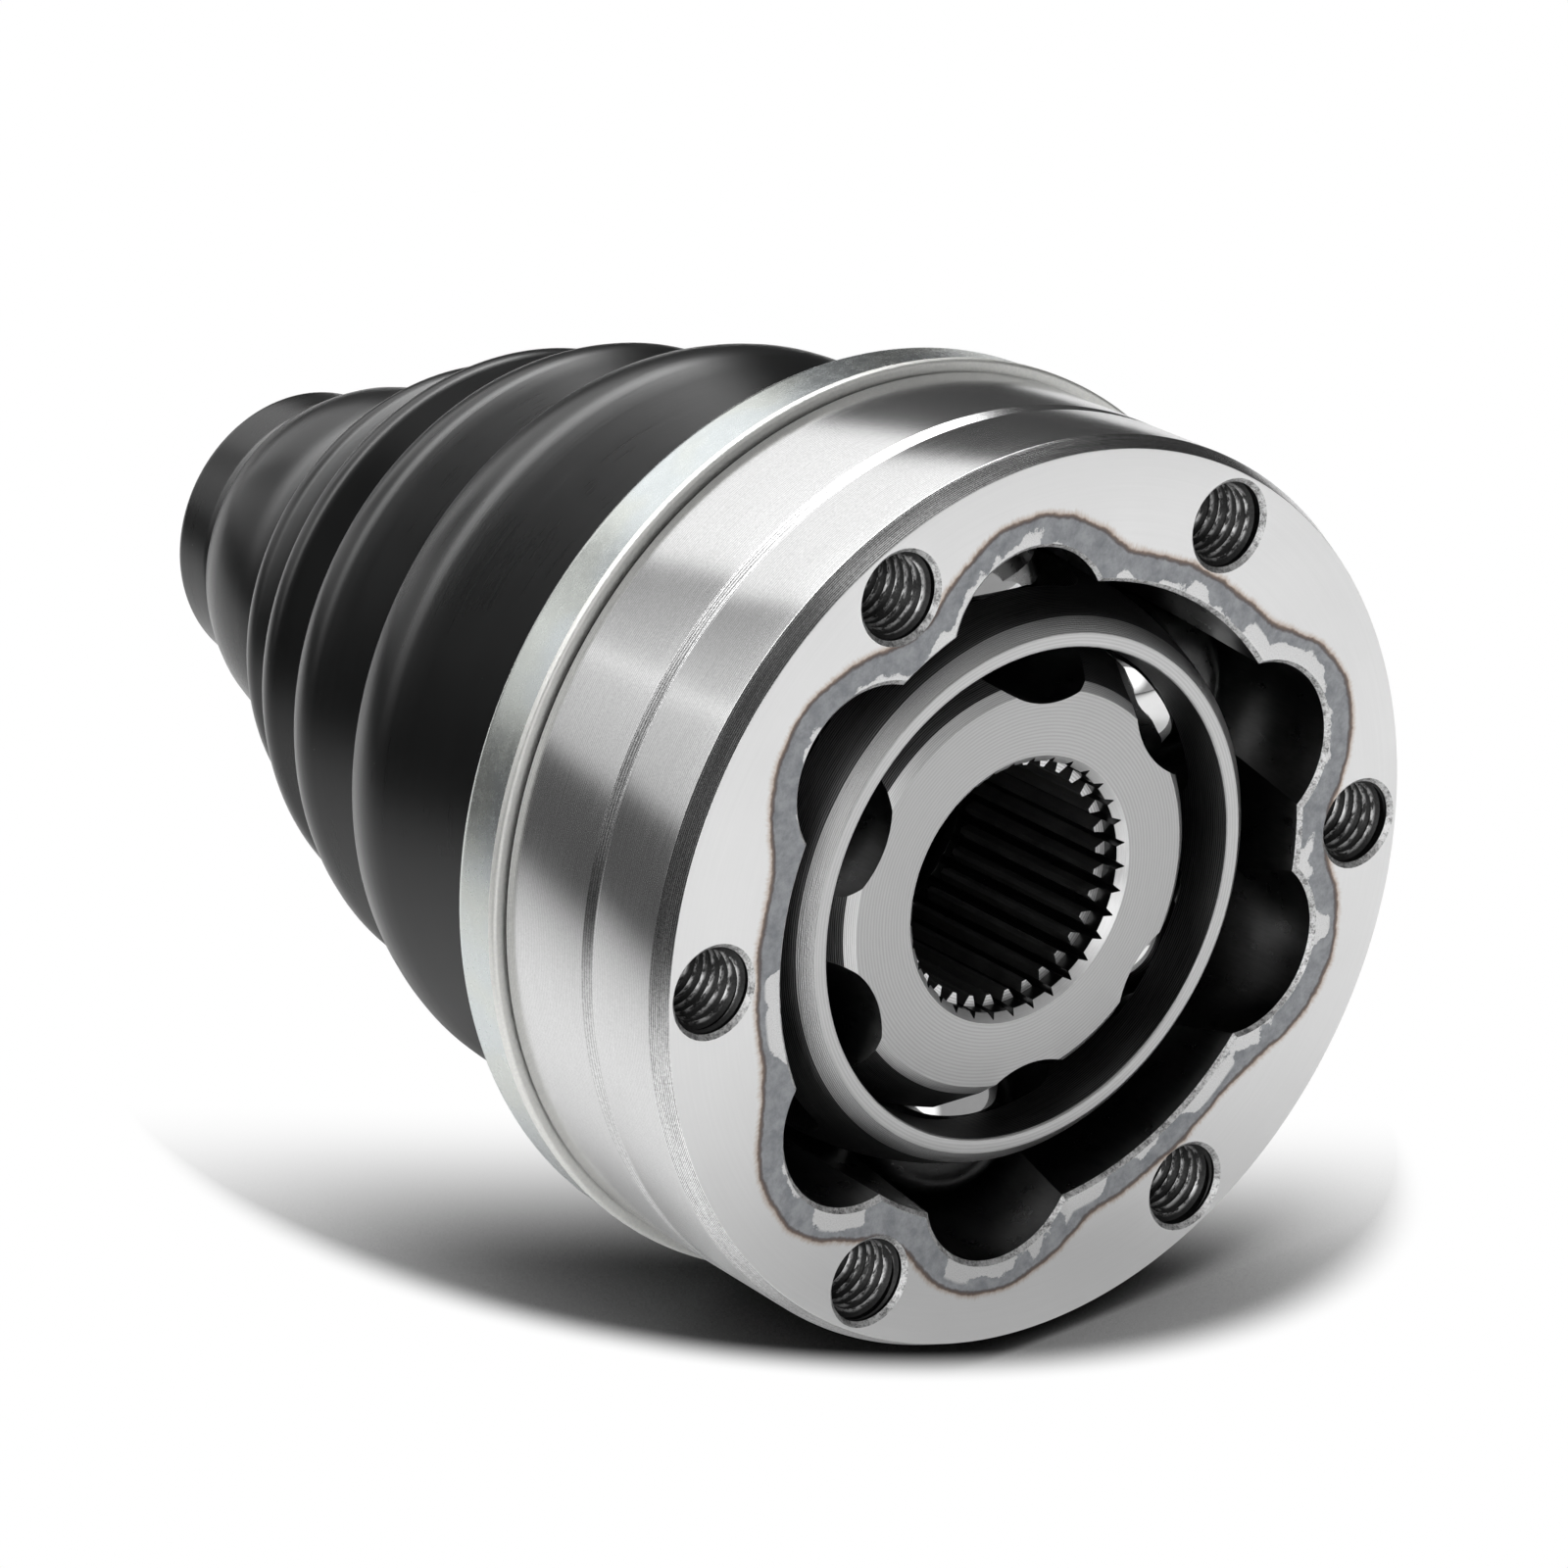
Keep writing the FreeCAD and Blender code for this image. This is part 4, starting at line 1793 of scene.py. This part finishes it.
@dataclass
class Studio:
    """Pale floor, soft light and the camera of the photograph; floor and lamp are in metres."""

    floor_z: float = -55.4
    floor_middle: Point2 = (1.0, 0.1)
    floor_half: Point2 = (1.36, 1.8)
    # painted shade of the floor in reflections: the x in millimetres where it darkens, and its two
    # greys
    painted_floor_shade: Point2 = (-320.0, -70.0)
    painted_floor_greys: Point2 = (0.1, 0.9)
    # painted shadow: ambient occlusion over this reach in metres darkens the floor's colour; the
    # fields below set where it gives way to white
    shadow_reach: float = 0.14
    shadow_middle: Point2 = (8.9, 67.4)
    shadow_size: Point2 = (59.0, 83.0)
    shadow_turn: float = 22.8
    shadow_fade: Point2 = (0.93, 1.05)
    shadow_rise: Point2 = (1.6, 1.91)
    shadow_top: Point2 = (40.0, 150.0)
    room_level: float = 0.04
    wall_level: float = 1.3
    wall_edge: Point2 = (0.42, 0.6)
    wall: Tuple[Point2, ...] = (
        (0.0, 0.02), (46.0, 0.02), (53.0, 0.95), (107.5, 0.95), (110.5, 0.24), (136.4, 0.6),
        (138.2, 1.0), (139.8, 1.0), (141.6, 0.62), (164.0, 0.52), (169.0, 0.04), (180.0, 0.05),
    )
    boxes: Tuple[SoftBox, ...] = (
        SoftBox(9.0, rise=(0.37, 0.44), fall=(0.53, 0.6), start=(40.0, 60.0), end=(95.0, 190.0)),
        SoftBox(0.7, rise=(-0.22, -0.12), fall=(0.0, 0.06), start=(40.0, 50.0), end=(100.0, 114.0)),
    )
    fill_level: float = 0.36
    fill_edge: Point2 = (-0.5, -0.25)
    glow: Point3 = (-0.66, -0.68, 0.32)
    glow_level: float = 1.3
    glow_edge: Point2 = (0.88, 0.98)
    lamp_place: Point3 = (-0.15, -0.28, 0.82)
    lamp_size: float = 0.3
    lamp_power: float = 2.8
    azimuth: float = -37.113
    elevation: float = 23.104
    roll: float = -0.709
    offset: Point3 = (29.78, 13.514, 659.605)
    focal_pixels: float = 5998.1
    image_size: int = 1600
    sensor: float = 36.0

    def camera(self) -> None:
        """Places the camera as the photograph's fit gives it."""
        a, e, r = (math.radians(t) for t in (self.azimuth, self.elevation, self.roll))
        back = Vector((math.sin(a) * math.cos(e), -math.cos(a) * math.cos(e), math.sin(e)))
        right = Vector((math.cos(a), math.sin(a), 0.0))
        up = back.cross(right)
        turn = Matrix(((math.cos(r), -math.sin(r), 0), (math.sin(r), math.cos(r), 0), (0, 0, 1)))
        axes = turn @ Matrix((right, -up, -back))
        place = -(axes.transposed() @ Vector(self.offset)) * MM
        data = bpy.data.cameras.new("camera")
        data.sensor_width = self.sensor
        data.lens = self.focal_pixels / self.image_size * self.sensor
        data.clip_end = 50.0
        camera = bpy.data.objects.new("camera", data)
        columns = Matrix((axes[0], -axes[1], -axes[2])).transposed()
        camera.matrix_world = Matrix.Translation(place) @ columns.to_4x4()
        bpy.context.scene.collection.objects.link(camera)
        bpy.context.scene.camera = camera

    def lamp(self) -> None:
        """Adds the soft lamp, which faces the origin and isn't mirrored by the pieces."""
        data = bpy.data.lights.new("key", "AREA")
        data.shape = "RECTANGLE"
        data.size = data.size_y = self.lamp_size
        data.energy = self.lamp_power
        lamp = bpy.data.objects.new("key", data)
        lamp.location = self.lamp_place
        lamp.rotation_euler = (-Vector(self.lamp_place)).to_track_quat("-Z", "Y").to_euler()
        lamp.visible_glossy = False
        bpy.context.scene.collection.objects.link(lamp)

    def world(self) -> None:
        """The room: wall and strip behind, band overhead, fill in front, glow by the camera."""
        world = bpy.data.worlds.new("room")
        bpy.context.scene.world = world
        world.use_nodes = True
        plan = Plan(world.node_tree)
        towards = plan.value("ShaderNodeTexCoord", output="Generated")
        x, y, z = plan.split(towards)
        turn = z.function("ARCTAN2", x) * (180 / math.pi) % 360.0
        stops = [(angle / 360, grey(level)) for angle, level in self.wall]
        wall = plan.value("ShaderNodeValToRGB", {"stops": stops}, {0: turn / 360.0})
        level = self.room_level + self.wall_level * wall * plan.step(y, *self.wall_edge)
        for box in self.boxes:
            level = level + box.light(plan, y, turn)
        level = level + self.fill_level * (1 - plan.step(y, *self.fill_edge))
        near = plan.value(
            "ShaderNodeVectorMath", {"operation": "DOT_PRODUCT"}, {0: towards, 1: self.glow},
            output="Value",
        )
        level = level + self.glow_level * plan.step(near, *self.glow_edge)
        seen = plan.value("ShaderNodeLightPath", output="Is Camera Ray")
        strength = seen + (1 - seen) * level
        light = plan.value("ShaderNodeBackground", None, {"Color": grey(1.0), "Strength": strength})
        plan.node("ShaderNodeOutputWorld", None, {"Surface": light})

    def floor(self) -> None:
        """A floor seen white round a soft shadow, partly the lamp's and partly painted, and
        mirrored grey with painted shade darker towards -X.
        """
        work = bmesh.new()
        bmesh.ops.create_grid(work, x_segments=2, y_segments=2, size=1.0)
        mesh = bpy.data.meshes.new("floor")
        work.to_mesh(mesh)
        work.free()
        for corner in mesh.vertices:
            corner.co = (
                self.floor_middle[0] + corner.co.x * self.floor_half[0],
                self.floor_middle[1] + corner.co.y * self.floor_half[1],
                self.floor_z * MM,
            )
        plan = FinishPlan("floor_paint")
        # painted shade: reflections see the floor go from grey to dark towards -X
        far, near = (grey(level) for level in self.painted_floor_greys)
        tone = plan.mix(plan.step(plan.x, *self.painted_floor_shade), far, near)
        paint = plan.value("ShaderNodeBsdfDiffuse", None, {"Color": tone})
        # painted shadow: the lamp-lit floor's colour is darkened by the square of ambient occlusion
        openness = plan.value(
            "ShaderNodeAmbientOcclusion", {"samples": 8}, {"Distance": self.shadow_reach},
            output="AO",
        )
        shade = plan.mix(openness * openness, grey(0.0), grey(0.9))
        painted_shadow_floor = plan.value("ShaderNodeBsdfDiffuse", None, {"Color": shade})
        white = plan.value("ShaderNodeEmission", None, {"Color": grey(1.0), "Strength": 1.0})
        turn = math.radians(self.shadow_turn)
        x, y = plan.x - self.shadow_middle[0], plan.y - self.shadow_middle[1]
        across = (x * math.cos(turn) + y * math.sin(turn)) / self.shadow_size[0]
        along = (y * math.cos(turn) - x * math.sin(turn)) / self.shadow_size[1]
        away = plan.step((across * across + along * along).function("SQRT"), *self.shadow_fade)
        rise = plan.x * self.shadow_rise[0] + plan.y * self.shadow_rise[1]
        away = away.most(plan.step(rise, *self.shadow_top))
        shown = plan.value("ShaderNodeMixShader", None, {0: away, 1: painted_shadow_floor, 2: white})
        seen = plan.value("ShaderNodeLightPath", output="Is Camera Ray")
        both = plan.value("ShaderNodeMixShader", None, {0: seen, 1: paint, 2: shown})
        plan.node("ShaderNodeOutputMaterial", None, {"Surface": both})
        mesh.materials.append(plan.material)
        floor = Workshop.stand(mesh, "floor")

    def build(self) -> None:
        """Sets up camera, light and floor."""
        self.camera()
        self.floor()
        self.world()
        self.lamp()
        bpy.context.scene.view_settings.view_transform = "Standard"


def main() -> None:
    """Builds the joint piece by piece, then the studio."""
    logging.basicConfig(level=logging.INFO, format="%(name)s: %(message)s")
    shop = Workshop()
    tracks = TrackPattern()
    for part in (
        OuterRace(shop, tracks), InnerRace(shop, tracks), BallCage(shop, tracks),
        Balls(shop, tracks), BootCan(shop), Boot(shop),
    ):
        part.build()
        LOG.info("%s is ready", type(part).__name__)
    Studio().build()


if __name__ == "__main__":
    main()
